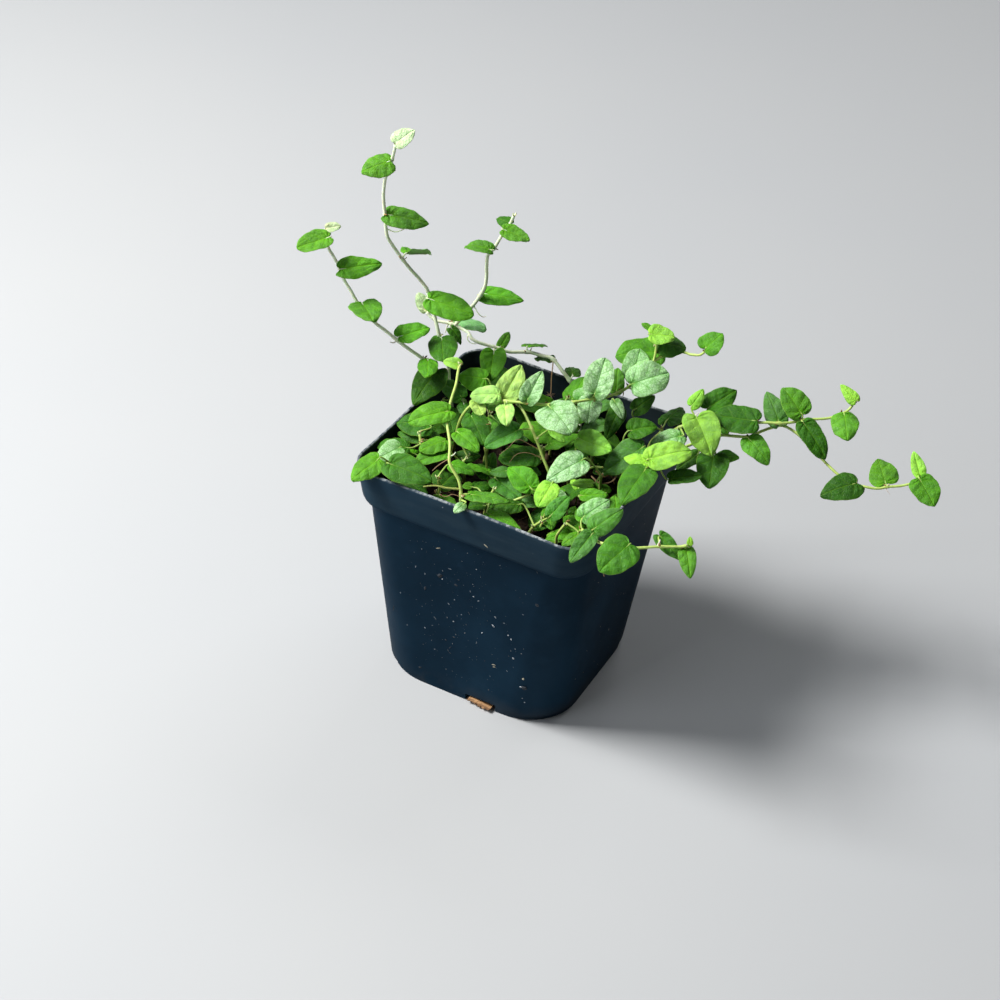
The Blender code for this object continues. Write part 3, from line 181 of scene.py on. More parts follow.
# Leaves of the long stems: stalk end (across, up), tip (across, up), width as seen, how far the stalk end is
# nearer than its stem, sideways lean, backward tilt (0 faces the viewer, 1.3 lies level) and tone.
VINE_LEAVES = {
    "vine_tall_back": [
        (-44.5, 102.9, -38, 107.4, 6, 0.3, 0, 0.2, "w"),
        (-46.6, 96.6, -56.4, 92.8, 8.6, 1.5, 0, 0.5, "g"),
        (-46.9, 78.2, -32.9, 75.9, 7.6, 0.5, 0.2, 0.5, "g"),
        (-40.4, 65.1, -32.5, 65.5, 2.8, 0, 0, 6, "g"),
        (-32.7, 49.3, -17.8, 44.3, 9, 1, 0, 0.4, "g"),
        (-28.8, 36, -28.3, 28.6, 10.2, 1.5, 0, 1.2, "d"),
    ],
    "vine_left": [
        (-68.2, 73.6, -63.3, 74.4, 3.4, 0.3, 0, 0.3, "w"),
        (-67.8, 70.4, -78.5, 66.9, 7.2, 1.2, 0, 0.6, "g"),
        (-63, 59.6, -49.1, 61.7, 8, 1, 0.2, 0.5, "g"),
        (-56, 47.8, -52.3, 41.9, 10.8, 1.5, 0, 1.4, "g"),
        (-42.9, 36.6, -32.8, 40, 6.8, -0.5, 0, 0.6, "g"),
        (-33.5, 28.6, -33.7, 23.4, 7.4, 1.5, 0, 1.3, "g"),
        (-30.8, 24.8, -38.5, 13.6, 10.5, 0.5, 0, 0.5, "d"),
        (-21.2, 13.4, -20.8, 9.6, 5.5, -2, 0, 1.3, "b"),
    ],
    "vine_back": [
        (-33.9, 45.4, -36.6, 51.8, 4.6, -0.3, 0.5, 0.2, "w"),
        (-24.8, 42.3, -13.4, 39.9, 4.6, -1.5, 0, 1.5, "u"),
        (-25.5, 39.4, -21.9, 33.9, 3.8, 1.5, 0.6, 0.3, "d"),
        (-10.9, 31.2, -12.5, 21, 9.2, 0.5, 0, 0.4, "g"),
        (-8.9, 32.8, -5.4, 38.3, 3.8, -0.5, 0.3, 0.3, "g"),
        (0.8, 33.2, 6.8, 34.1, 2.6, 0, 0, 5, "g"),
        (9, 28.9, 2.9, 29.5, 2.8, -1.5, 0, 2.5, "d"),
        (16, 23.3, 15.2, 26.2, 6, 0.5, 0, 2.6, "d"),
        (-14.2, 51.2, -0.6, 49, 6.8, 0.4, 0, 0.5, "g"),
        (-12, 66.2, -21.1, 67.7, 4.8, 0.4, 0, 0.9, "g"),
        (-7.2, 73, 1.4, 69.7, 5.6, 0.4, 0, 0.7, "g"),
        (-5.4, 75.2, -10.2, 77.2, 4.6, 0, -0.3, 0.5, "d"),
    ],
    "vine_across": [
        (42.8, 37.3, 51.2, 36.6, 7.4, 0.4, 0, 0.5, "y"),
        (43.4, 38.8, 39.7, 41.3, 2.4, 0, 0, 0.5, "g"),
        (45.8, 34.4, 55, 32.6, 7.6, -2, 0, 0.5, "d"),
        (61.4, 32.4, 67.5, 37.8, 8.4, 0.4, -0.2, 0.4, "g"),
        (36.4, 20.2, 49.2, 24.4, 12, 3, 0, 0.3, "p"),
        (36.6, 22.4, 39.4, 32.8, 9, 0.6, 0, 0.3, "p"),
        (46, 31.2, 30.6, 30.4, 10.5, -3.5, 0, 0.6, "g"),
        (31, 17.5, 31.5, 26, 5.5, -2, 0, 0.4, "g"),
        (23.6, 16.8, 27.4, 29.5, 10.4, 1, 0, 0.3, "p"),
        (22.3, 15.4, 21.2, 6.8, 8.6, -1.6, 0, 0.3, "p"),
        (18.4, 14.8, 21.6, 19, 6.2, -2.5, 0, 0.6, "p"),
        (0.4, 14.5, 5.7, 25, 7.4, 0.8, 0, 0.3, "p"),
        # The next five leaves take the light lime tone l, which paints the light that falls on them.
        (-7.8, 15.2, -1.3, 26.9, 8.6, 1, 0.2, 0.3, "l"),
        (-9.6, 16.6, -19.1, 16.3, 6.6, 0.5, 0, 0.4, "l"),
        (-8.5, 13.6, -13.2, 11.6, 4, -2, 0, 0.7, "l"),
        (-17.4, 14.6, -14.6, 9.6, 4.8, 2, 0, 0.6, "l"),
        (-7.2, 12.6, -6.7, 6.4, 6.2, 0.8, 0, 0.9, "l"),
        (8.2, 12.4, 15.6, 3.8, 13.5, 1.4, 0, 0.8, "p"),
    ],
    "vine_right_upper": [
        (86.8, 7.2, 82.5, 17.9, 8, -1.2, -0.1, 0.3, "b"),
        (94.5, 10, 88.2, 19.3, 9.4, 0.3, 0.2, 0.3, "g"),
        (113, 14.6, 107.9, 20.3, 4.8, 0.3, 0, 0.3, "y"),
        (95.2, 6.8, 103.1, -5.2, 8, 0.5, 0.2, 0.3, "d"),
        (109.1, 9.9, 110.1, 1.2, 9.8, 1.2, 0, 0.7, "g"),
        (79, 7.6, 64, 9.8, 10.2, 0.5, 0, 0.6, "d"),
        (62.4, 12, 72.4, 18.6, 8.6, -3, 0, 0.4, "d"),
        (57.1, 13, 61, 18.7, 4.8, 0, 0, 0.3, "y"),
        (58.6, 8.6, 63.7, -4.3, 12.6, 4, 0.1, 0.4, "y"),
        (65.5, 8.2, 69.5, 3.3, 5.6, -1, 0, 0.5, "g"),
        (53, 2.4, 42.5, -0.6, 6.5, -2, 0, 0.6, "p"),
    ],
    "vine_right_lower": [
        (41, -9, 33, -20.7, 10.4, 9, 0, 1, "k"),
        (76.5, 1.4, 83.3, -7, 8, 0.5, 0, 0.4, "g"),
        (66.3, -4.4, 73.2, -4.9, 4, -1, 0, 1, "g"),
        (64.3, -4, 62.8, -15.4, 11, -2, 0, 0.5, "d"),
        (59, -3.8, 51.5, -9, 5.2, -2, 0, 0.5, "d"),
        (49.5, -12.4, 60.5, -11, 5.2, -1, 0, 0.6, "d"),
        (113.2, -13.8, 101, -17.6, 9, 0.3, 0, 0.5, "d"),
        (123.3, -13.6, 120.6, -5.1, 10, -0.3, 0, 0.4, "g"),
        (135, -10.8, 132.9, -2.7, 4.9, 0, 0, 0.3, "y"),
        (135.1, -12.6, 140, -21.4, 10, 1, 0, 0.5, "g"),
        (42.6, -5.5, 57.2, -2.2, 9, 3, 0, 0.5, "y"),
        (41.6, -7, 33.6, -4.6, 5.2, 6.5, 0, 0.6, "y"),
    ],
    "vine_front_right": [
        (35.4, -34.8, 25.3, -43.8, 11.4, 1.4, 0, 0.4, "k"),
        (46, -31.8, 53, -39.6, 5.6, -2, 0, 0.4, "k"),
        (55, -36.1, 56.4, -46.2, 5.8, 0.4, 0, 0.5, "g"),
        (22.6, -31.4, 15.3, -40.4, 6.6, 1.4, 0, 0.5, "b"),
        (19.6, -25.4, 28.8, -19.2, 7.8, -0.5, 0, 0.4, "p"),
        (23.4, -29.4, 33.4, -22.4, 7.4, -3, 0, 0.5, "b"),
        (56.2, -34.8, 56.4, -31.9, 1.4, 0, 0, 0.3, "y"),
    ],
    "vine_over_left": [
        (-26.2, 11, -40.3, 7.4, 7.8, 0.9, 0, 0.5, "g"),
        (-22.6, 26.6, -28.3, 28.2, 4, 0.2, 0, 0.5, "y"),
        (-18.6, -17.6, -5.3, -19.3, 3.8, 0.5, 0, 1.3, "g"),
        (-21.4, -21, -24.6, -23.8, 3.4, 1.5, 0, 0.6, "p"),
    ],
    "vine_middle": [],
}

# Leaves that fill the pot: as above, with the height of the stalk end in place of its distance to a stem.
POT_LEAVES = [
    (-14, 22, -23.6, 23.4, 8.5, 98, 0, 0.4, "g"),
    (-22, 15.8, -28.5, 21.5, 7, 92, 0, 0.5, "b"),
    (-32.5, 6, -44.3, 7.5, 8.3, 92, 0, 0.7, "d"),
    (-31.5, 1.8, -44, 4.3, 5.8, 89, 0, 1, "d"),
    (-27.5, 0.8, -36.5, -2.6, 5.5, 89, 0, 1, "g"),
    (-27, -3.2, -38.7, -7, 6.2, 88, 0, 0.9, "g"),
    (-40.5, -1.6, -51, -1, 5, 87, 0, 1, "d"),
    (-43.2, -1.5, -50.8, -5.2, 7, 93, 0, 0.6, "p"),
    (-50.5, -5.5, -59.7, -12.3, 8, 94, 0, 0.6, "g"),
    (-46.3, -7.2, -32.2, -12.6, 9.6, 92, 0, 0.6, "k"),
    (-25.3, -7.4, -17.6, -10.5, 4.9, 89, 0, 0.8, "g"),
    (-18.5, -15.2, -11.6, -14.3, 3.6, 85, 0, 1, "d"),
    (-18.8, -15, -21.8, -14.6, 2.6, 86, 0, 0.8, "g"),
    (-14.2, -21.4, -19.8, -21.8, 4, 84.5, 0, 1, "d"),
    (-2, -21, -13.6, -22.3, 4.8, 87, 0, 1, "d"),
    (-12.5, -24.3, -1.3, -29.6, 4.6, 85, 0, 1, "g"),
    (9.6, -23.4, 1.2, -28.4, 7.2, 85, 0, 0.7, "k"),
    (7.5, -23, 8.8, -29.6, 5, 86, 0, 0.8, "g"),
    (8.8, -14.2, 4.2, -21.6, 7.6, 93, 0, 0.6, "y"),
    (1.6, -15.2, -6.1, -8, 8.6, 91, 0, 0.5, "g"),
    (-9.8, -12.6, -1.4, -19.2, 7.2, 87, 0, 0.8, "b"),
    (-6.5, -9.5, -12.3, -10, 3.8, 88, 0, 0.8, "b"),
    (3.5, -4.6, -9.5, -5, 6.8, 87, 0, 0.9, "d"),
    (-2.9, 4.3, -14.1, -0.9, 7.6, 95, 0, 0.6, "b"),
    (-18.7, 9.5, -14.2, -0.7, 9, 97, 0, 0.6, "d"),
    (-23.2, 3.6, -16, -2.9, 6.2, 92, 0, 0.7, "g"),
    (8.8, 4.2, 13.4, 0.6, 3, 97, 0, 0.7, "y"),
    (18.6, 1.4, 29.6, -2.4, 8.8, 98, 0, 0.5, "y"),
    (19.4, -5.8, 7.2, -12.9, 9.6, 97, 0, 0.5, "p"),
    (32, 11.5, 27.5, 1.5, 6.8, 97, 0, 0.4, "d"),
    (30.5, 14.2, 33.4, 8.4, 4.4, 100, 0, 0.5, "p"),
    (36, 4.2, 45.2, 5.8, 7, 98, 0, 0.5, "d"),
    (37.5, 11.5, 44.3, 16.4, 6, 101, 0, 0.4, "d"),
    (40, -1.5, 26.5, -9.8, 10, 95, 0, 0.5, "b"),
    (31, -23, 30.6, -17.6, 5, 87, 0, 0.8, "g"),
    (20, -26, 17.4, -22.4, 4.2, 88, 0, 0.8, "g"),
    (19, -29, 12.9, -25, 5.2, 87, 0, 0.8, "g"),
    (19.3, -18, 27.9, -17.3, 4.4, 90, 0, 0.8, "g"),
    (22.5, -13.7, 15.4, -14, 3.2, 89, 0, 0.8, "y"),
    (18.8, -29.8, 6.6, -32.7, 4.2, 88, 0, 0.9, "g"),
    (18, -31.2, 12.4, -35, 3.6, 88, 0, 0.9, "g"),
    (8.8, -24.6, 15, -17.8, 6.2, 89, 0, 0.5, "b"),
    (3, -19.8, -1.9, -21.6, 4.6, 87, 0, 0.9, "b"),
]

# Half outline of a leaf: (along, across) as shares of length and half width, stalk notch to tip. Leaves that
# are shorter than SMALL_LEAF take the plainer one.
HALF_OUTLINE = [(-0.10, 0.40), (0.12, 0.98), (0.52, 0.97), (0.84, 0.50)]
SMALL_OUTLINE = [(-0.08, 0.55), (0.34, 1.05), (0.80, 0.58)]
SMALL_LEAF = 7.0


# Sight lines, curves and tubes

def sheet_point(across, up):
    """The point in space of a place on the drawing sheet."""
    return SHEET + ACROSS * across + UP * up


def on_sight_line(across, up, height):
    """Where the sight line through a place on the sheet passes a height."""
    ray = sheet_point(across, up) - EYE
    return EYE + ray * ((height - EYE.z) / ray.z)


def smooth_route(points, step=1.0):
    """A smooth curve through points, as points about a step apart."""
    ends = [points[0] * 2 - points[1]] + points + [points[-1] * 2 - points[-2]]
    curve = []
    for before, start, end, after in zip(ends, ends[1:], ends[2:], ends[3:]):
        count = max(1, round((end - start).length / step))
        for i in range(count):
            t = i / count
            curve.append(0.5 * (2 * start + (end - before) * t
                                + (2 * before - 5 * start + 4 * end - after) * t * t
                                + (3 * start - before - 3 * end + after) * t ** 3))
    return curve + [points[-1].copy()]


def thinned(curve, within):
    """The same curve with only the points that keep it within a distance of its first shape."""
    first, last = curve[0], curve[-1]
    along = last - first
    farthest, number = 0.0, 0
    for i in range(1, len(curve) - 1):
        share = max(0.0, min(1.0, (curve[i] - first).dot(along) / max(along.length_squared, 1e-9)))
        away = (curve[i] - first - along * share).length
        if away > farthest:
            farthest, number = away, i
    if farthest <= within:
        return [first, last]
    return thinned(curve[:number + 1], within)[:-1] + thinned(curve[number:], within)


def sweep(points, radii, sides, shift=0.0):
    """Rings of vertices round a route and the faces between them; shift turns each by a part of a side."""
    last = len(points) - 1
    heading = (points[1] - points[0]).normalized()
    side = heading.orthogonal().normalized()
    verts = []
    for i, point in enumerate(points):
        heading = (points[min(i + 1, last)] - points[max(i - 1, 0)]).normalized()
        side = (side - heading * side.dot(heading)).normalized()
        other = heading.cross(side)
        for k in range(sides):
            angle = 2 * math.pi * (k + shift) / sides
            verts.append(point + (side * math.cos(angle) + other * math.sin(angle)) * radii[i])
    return verts, bands(last, sides)


def bands(count, sides):
    """The four-sided faces between neighbouring rings of vertices."""
    faces = []
    for i in range(count):
        for k in range(sides):
            a, b = i * sides + k, i * sides + (k + 1) % sides
            faces.append((a, b, b + sides, a + sides))
    return faces


def tube(points, radius, sides, end_radius=None):
    """A closed tube along points: (vertices, faces)."""
    end_radius = radius if end_radius is None else end_radius
    last = len(points) - 1
    radii = [radius + (end_radius - radius) * i / last for i in range(last + 1)]
    verts, faces = sweep(points, radii, sides, 0.5)
    ends = [tuple(range(sides - 1, -1, -1)), tuple(last * sides + k for k in range(sides))]
    return verts, ends + faces


# Leaves, and where the plant's stems and leaves are placed

class Leaf:
    """One leaf blade: its place, size and gentle curves."""

    def __init__(self, root, axis, face, length, half, draw, tone):
        self.root = root
        self.axis = axis.normalized()
        self.face = (face - self.axis * face.dot(self.axis)).normalized()
        self.side = self.axis.cross(self.face)
        self.length = length
        self.half = half
        self.tone = tone
        self.arch = draw.uniform(-0.02, 0.07)
        self.fold = draw.uniform(-0.10, 0.20)
        self.cup = draw.uniform(-0.12, 0.14)
        self.twist = draw.uniform(-0.10, 0.10)
        self.seed = draw.random()

    def point(self, s, h):
        """A point of the blade: s runs from the stalk to the tip, h across in half widths."""
        lift = self.arch * self.length * 4 * s * (1 - s)
        lift += self.half * (self.fold * abs(h) + self.cup * h * h + self.twist * h * s)
        return (self.root + self.axis * (s * self.length) + self.side * (h * self.half)
                + self.face * lift)


def leaf_on_sheet(entry, root, draw):
    """The leaf that a line of the layout draws, with its stalk end at root."""
    _, _, u1, v1, seen_width, _, lean, tilt, tone = entry
    face = BACK + UP * tilt + ACROSS * lean
    ray = sheet_point(u1, v1) - EYE
    tip = EYE + ray * (face.dot(root - EYE) / face.dot(ray))
    axis = tip - root
    face = (face - axis * face.dot(axis) / axis.length_squared).normalized()
    side = axis.normalized().cross(face)
    seen = Vector((axis.dot(ACROSS), axis.dot(UP))).normalized()
    share = abs(side.dot(ACROSS) * -seen.y + side.dot(UP) * seen.x)
    width = min(seen_width / max(share, 0.35), 1.25 * axis.length)
    return Leaf(root, axis, face, axis.length, max(width, 2.2) / 2, draw, tone)


def blade_mesh(leaf, thick, grow=0.0):
    """The closed blade of a leaf, both faces triangulated alike: (vertices, faces)."""
    small = leaf.length < SMALL_LEAF
    right = SMALL_OUTLINE if small else HALF_OUTLINE
    ribs = len(right)
    midrib = [(k / (ribs - 1), 0.0) for k in range(ribs)]
    left = [(s, -h) for s, h in right]
    along = 1 + 2 * grow / leaf.length
    across = 1 + grow / leaf.half
    places = [((s - 0.45) * along + 0.45, h * across) for s, h in midrib + right + left]
    top = [leaf.point(s, h) + leaf.face * thick / 2 for s, h in places]
    under = [leaf.point(s, h) - leaf.face * thick / 2 for s, h in places]
    half = []
    for k in range(ribs - 1):
        half += [(k, ribs + k, ribs + k + 1), (k, ribs + k + 1, k + 1)]
    mirrored = [tuple(i + ribs if i >= ribs else i for i in reversed(face)) for face in half]
    count = len(places)
    faces = half + mirrored + [tuple(i + count for i in reversed(face)) for face in half + mirrored]
    rim = [0] + list(range(ribs, 2 * ribs)) + [ribs - 1] + list(range(3 * ribs - 1, 2 * ribs - 1, -1))
    faces += [(a, a + count, b + count, b) for a, b in zip(rim, rim[1:] + rim[:1])]
    return top + under, faces


def stalk_route(start, leaf, bow):
    """Where the stalk of a leaf runs: from its stem to the notch and a little way along the midrib."""
    reach = (leaf.root - start).length
    route = [start]
    if reach > 4.0:
        bend = leaf.root - leaf.axis * (0.30 * reach) - leaf.face * (0.10 * reach) + bow * (0.22 * reach)
        route.append(start * 0.25 + bend * 0.5 + leaf.root * 0.25)
    route.append(leaf.point(0.12, 0.0))
    return route


def stalk_mesh(route):
    """A three-sided stalk that ends within the thickness of its blade."""
    return tube(route, STALK_RADIUS, 3, STALK_END_RADIUS)


def tree_of(mesh):
    return BVHTree.FromPolygons(mesh[0], mesh[1])


def span_of(mesh):
    """The middle of a mesh's box and the reach of its corners from there."""
    low = Vector(min(v[i] for v in mesh[0]) for i in range(3))
    high = Vector(max(v[i] for v in mesh[0]) for i in range(3))
    return (low + high) / 2, (high - low).length / 2


class Piece:
    def __init__(self, node, kind, mesh):
        self.node = node
        self.kind = kind
        self.tree = tree_of(mesh)
        self.middle, self.reach = span_of(mesh)


def slides(farthest):
    """Steps along the sight line, nearest to none first and farther from the viewer before nearer."""
    steps = [0.0]
    step = SLIDE_STEP
    while step <= farthest:
        steps += [-step, step]
        step += SLIDE_STEP
    return steps


class Plant:
    """The whole layout: stems, then the leaves read off the photo, then leaves that fill the gaps."""

    def __init__(self):
        self.draw = random.Random(SEED)
        self.pieces = [Piece("pot", "pot", pot_mesh()), Piece("potting_mix", "mix", mix_mesh())]
        self.stems = {}
        self.leaves = {}
        self.stalks = {}
        self.read_off = []

    def clear(self, mesh, node, own_kinds):
        """True if a mesh touches no placed piece: of its own node only the named kinds count."""
        tree = tree_of(mesh)
        middle, reach = span_of(mesh)
        for piece in self.pieces:
            if (piece.middle - middle).length > piece.reach + reach:
                continue
            if piece.node == node and piece.kind not in own_kinds:
                continue
            if tree.overlap(piece.tree):
                return False
        return True

    def add_stem(self, node, routes):
        """Places a node's stems: for each the smooth curve and the coarse line that its solid follows."""
        self.stems[node] = []
        self.leaves[node] = []
        self.stalks[node] = []
        for number, route in enumerate(routes):
            curve = smooth_route(route)
            if number == 0:
                root = curve[0]
                ground = mix_height(root.x, root.y)
                curve[0] = Vector((root.x, root.y, ground + 0.8))
                bottom = Vector((root.x, root.y, ground - HOLE_DEPTH))
                rough = [bottom] + thinned(curve, STEM_WITHIN)
            else:
                rough = thinned(curve, STEM_WITHIN)
            self.stems[node].append((curve, rough))
            self.pieces.append(Piece(node, "stem", tube(rough, STEM_RADIUS, 5)))

    def stem_points(self, node):
        for curve, _ in self.stems[node]:
            for point in curve[3:]:
                yield point

    def stalk_from(self, node, leaf, starts):
        """A stalk route that touches nothing, from the nearest of the starts that has one."""
        bows = [Vector((0, 0, 0)), -Vector((0, 0, 1)), leaf.side, -leaf.side, Vector((0, 0, 1)), BACK]
        for start in starts:
            for bow in bows:
                route = stalk_route(start, leaf, bow)
                end = leaf.point(-0.02, 0)
                fat = tube(route[:-1] + [end], STALK_RADIUS + GAP, 3)
                if (end - start).length < 1.2 or self.clear(fat, node, ("blade",)):
                    return route
        return None

    def place(self, node, leaf, starts):
        """Adds a leaf and its stalk to a node where both are clear."""
        if not self.clear(blade_mesh(leaf, BLADE_THICK + 2 * GAP, GAP), node, ("blade", "stalk")):
            return False
        if not self.clear(blade_mesh(leaf, BLADE_THICK), node, ("stem",)):
            return False
        route = self.stalk_from(node, leaf, starts)
        if route is None:
            return False
        self.leaves[node].append(leaf)
        self.stalks[node].append(route)
        self.pieces.append(Piece(node, "blade", blade_mesh(leaf, BLADE_THICK)))
        self.pieces.append(Piece(node, "stalk", stalk_mesh(route)))
        return True

    def add_vine_leaf(self, node, entry):
        """A leaf of a long stem, slid along its sight line until it touches nothing."""
        across, up, near = entry[0], entry[1], entry[5]
        places = list(self.stem_points(node))

        def seen_distance(point):
            ray = (point - EYE) / (point - EYE).dot(-BACK)
            spot = sheet_point(across, up) - EYE
            spot = spot / spot.dot(-BACK)
            return (ray - spot).length * DISTANCE

        starts = sorted(places, key=seen_distance)
        nearest = starts[0]
        ray = (sheet_point(across, up) - EYE).normalized()
        root = EYE + ray * (nearest - EYE).dot(ray) - ray * near
        leaf = leaf_on_sheet(entry, root, self.draw)
        home = leaf.root
        for slide in slides(VINE_SLIDE):
            leaf.root = home - ray * slide
            close = sorted(places, key=lambda p: (p - leaf.root).length)
            if self.place(node, leaf, close[0:13:4]):
                return

    def add_pot_leaf(self, entry):
        """A leaf over the pot, slid along its sight line until a stem can carry it and it is clear."""
        across, up, height = entry[0], entry[1], entry[5]
        ray = (sheet_point(across, up) - EYE).normalized()
        leaf = leaf_on_sheet(entry, on_sight_line(across, up, height), self.draw)
        home = leaf.root
        owners = [node for node in self.stems if node.startswith("sprig")] + ["vine_middle"]
        for slide in slides(POT_SLIDE):
            leaf.root = home - ray * slide
            found = []
            for node in owners:
                for point in self.stem_points(node):
                    drop = leaf.root.z - point.z
                    away = (point - leaf.root).length
                    if drop > -4 and away < 22:
                        found.append((away, node, point))
            found.sort(key=lambda item: item[0])
            tried = []
            for away, node, point in found:
                if all((point - other).length > 3 for other in tried):
                    tried.append(point)
                    if self.place(node, leaf, [point]):
                        return
                if len(tried) > 7:
                    break

    def add_sprigs(self):
        """Short upright stems on a loose grid over the mix, each as high as the leaves above it allow."""
        roots = [self.stems[node][0][0][0] for node in self.stems]
        number = 0
        for row in range(SPRIG_ROWS):
            for column in range(SPRIG_ROWS):
                x = (column - SPRIG_ROWS // 2) * SPRIG_SPACING + self.draw.uniform(-3, 3)
                y = (row - SPRIG_ROWS // 2) * SPRIG_SPACING + self.draw.uniform(-3, 3)
                x, y = max(-33, min(33, x)), max(-33, min(33, y))
                for _ in range(SPRIG_TRIES):
                    start = Vector((x, y, mix_height(x, y)))
                    top = Vector((x + self.draw.uniform(-4, 4), y + self.draw.uniform(-4, 4),
                                  self.draw.uniform(*SPRIG_TOPS)))
                    bend = Vector((self.draw.uniform(-2, 2), self.draw.uniform(-2, 2), 1))
                    middle = (start + top) / 2 + bend
                    apart = min((Vector((x, y, 0)) - Vector((r.x, r.y, 0))).length for r in roots)
                    base = start + Vector((0, 0, 2.5))
                    curve = smooth_route([start, base, middle, top])
                    if apart > 4 and self.clear(tube(curve[3:], STEM_RADIUS + GAP, 5), "", ()):
                        number += 1
                        self.add_stem("sprig_%02d" % number, [[start, base, middle, top]])
                        roots.append(start)
                        break
                    x += self.draw.uniform(-2.5, 2.5)
                    y += self.draw.uniform(-2.5, 2.5)
                    x, y = max(-34, min(34, x)), max(-34, min(34, y))

    def covered(self, x, y):
        """True where a leaf lies over this spot of the mix."""
        ray, start = Vector((0, 0, -1)), Vector((x, y, 250))
        for piece in self.pieces:
            if piece.kind != "blade":
                continue
            near = math.hypot(piece.middle.x - x, piece.middle.y - y) < piece.reach
            if near and piece.tree.ray_cast(start, ray)[0]:
                return True
        return False

    def meets_blade(self, start, way):
        """True where a line from a place runs into a blade that is read off the photo."""
        return any(piece.kind == "blade" and piece.tree.ray_cast(start, way)[0] for piece in self.read_off)

    def hides_leaf(self, leaf):
        """True where a leaf would stand in front of one that is read off the photo."""
        for s, h in ((0.5, 0), (0.1, 0), (0.9, 0), (0.4, 0.8), (0.4, -0.8)):
            spot = leaf.point(s, h)
            if self.meets_blade(spot, (spot - EYE).normalized()):
                return True
        return False

    def add_fill(self, wanted):
        """Seeded leaves on the short stems, over spots of the mix that no leaf covers yet."""
        self.read_off = list(self.pieces)
        sprigs = [node for node in self.stems if node.startswith("sprig")]
        bare = [node for node in sprigs if not self.leaves[node]] * 60
        placed = 0
        for attempt, node in enumerate(bare + sprigs * 100):
            if attempt < len(bare) and self.leaves[node]:
                continue
            points = list(self.stem_points(node))
            start = points[int(len(points) * self.draw.uniform(0.3, 1.0)) - 1]
            turn = self.draw.uniform(0, 2 * math.pi)
            out = Vector((math.cos(turn), math.sin(turn), 0))
            root = start + out * self.draw.uniform(1.5, 4) + Vector((0, 0, self.draw.uniform(0.5, 3.5)))
            axis = out + Vector((0, 0, self.draw.uniform(-0.35, 0.35)))
            length = self.draw.uniform(9, 14)
            face = Vector((self.draw.uniform(-0.3, 0.3), self.draw.uniform(-0.3, 0.3), 1))
            half = length * self.draw.uniform(0.35, 0.42)
            leaf = Leaf(root, axis, face, length, half, self.draw, self.draw.choice("gdgdb"))
            centre = leaf.point(0.5, 0)
            if max(abs(centre.x), abs(centre.y)) > 46 or root.z < mix_height(root.x, root.y) + 3:
                continue
            if min(leaf.point(s, h).z for s, h in ((0.5, 0.9), (0.5, -0.9), (1, 0))) < 79:
                continue
            if attempt >= len(bare) and self.covered(centre.x, centre.y):
                continue
            if self.hides_leaf(leaf):
                continue
            if self.place(node, leaf, [start]):
                placed += 1
            if placed >= wanted:
                break


# The pot and the potting mix

def ring(side, corner, height, bow=0.0, steps=3, along=2):
    """A square with rounded corners, anticlockwise from above, as points at one height.

    Each corner has steps parts and each side along parts; bow draws the middle of a side inwards.
    """
    points = []
    straight = side / 2 - corner
    for quarter in range(4):
        turn = quarter * math.pi / 2
        centre = Vector((straight * (1 if quarter in (0, 3) else -1),
                         straight * (1 if quarter < 2 else -1), height))
        for k in range(steps + 1):
            angle = turn + k * math.pi / 2 / steps
            points.append(centre + Vector((math.cos(angle), math.sin(angle), 0)) * corner)
        out = Vector((math.cos(turn + math.pi / 2), math.sin(turn + math.pi / 2), 0))
        sideways = Vector((-out.y, out.x, 0))
        for k in range(1, along):
            share = 1 - 2 * k / along
            points.append(out * (side / 2 - bow * (1 - share * share)) - sideways * (straight * share)
                          + Vector((0, 0, height)))
    return points


def lofted(rings):
    """A closed solid through rings of the same count, each end filled."""
    count = len(rings[0])
    verts = [point for one in rings for point in one]
    faces = [tuple(range(count - 1, -1, -1))] + bands(len(rings) - 1, count)
    faces.append(tuple((len(rings) - 1) * count + k for k in range(count)))
    return verts, faces


def pot_profile():
    """(side, corner radius, height, bow) of the pot: up the outside, over the lip and down the inside."""
    band_low = POT_HEIGHT - RIM_BAND
    inside = RIM_SIDE - 2 * WALL
    return [
        (BASE_SIDE - 0.3, FOOT_CORNER, 0.0, 0.0),
        (BASE_SIDE + 0.2, FOOT_CORNER + 0.5, STEP_HEIGHT, 0.0),
        (BASE_SIDE + 0.3, WALL_CORNER, STEP_HEIGHT, 0.0),
        (BODY_TOP_SIDE, 12.2, band_low, 0.0),
        (86.0, 11.0, band_low + 0.2, 0.0),
        (BAND_SIDE, 10.8, band_low + BAND_ROUND, 0.0),
        (RIM_SIDE - 0.2, 10.2, POT_HEIGHT - 0.9, 0.6),
        (RIM_SIDE - 0.5, 10.0, POT_HEIGHT, 0.8),
        (inside - 0.1, 9.2, POT_HEIGHT, 0.8),
        (inside - 0.4, 9.2, POT_HEIGHT - 1.5, 0.6),
        (84.5, 9.8, band_low + 1.4, 0.0),
        (81.5, 11.2, band_low - 0.4, 0.0),
        (BASE_SIDE - 1.6, WALL_CORNER - 0.7, STEP_HEIGHT + 1.8, 0.0),
        (BASE_SIDE - 2.1, FOOT_CORNER - 0.5, STEP_HEIGHT + 1.0, 0.0),
        (BASE_SIDE - 2.5, FOOT_CORNER - 0.3, FLOOR_THICK, 0.0),
    ]


def pot_mesh():
    return lofted([ring(side, corner, height, bow=bow) for side, corner, height, bow in pot_profile()])


def mix_height(x, y):
    """The height of the mix: low swells and small lumps, falling a little to the walls."""
    swell = 0.7 * math.sin(x * 0.11 + 1.0) * math.cos(y * 0.09 - 0.6)
    lumps = 0.35 * math.sin(x * 0.31 + y * 0.17) * math.sin(y * 0.37 - x * 0.08 + 2.0)
    edge = max(0.0, max(abs(x), abs(y)) - 30) * 0.08
    return MIX_TOP + swell + lumps - edge


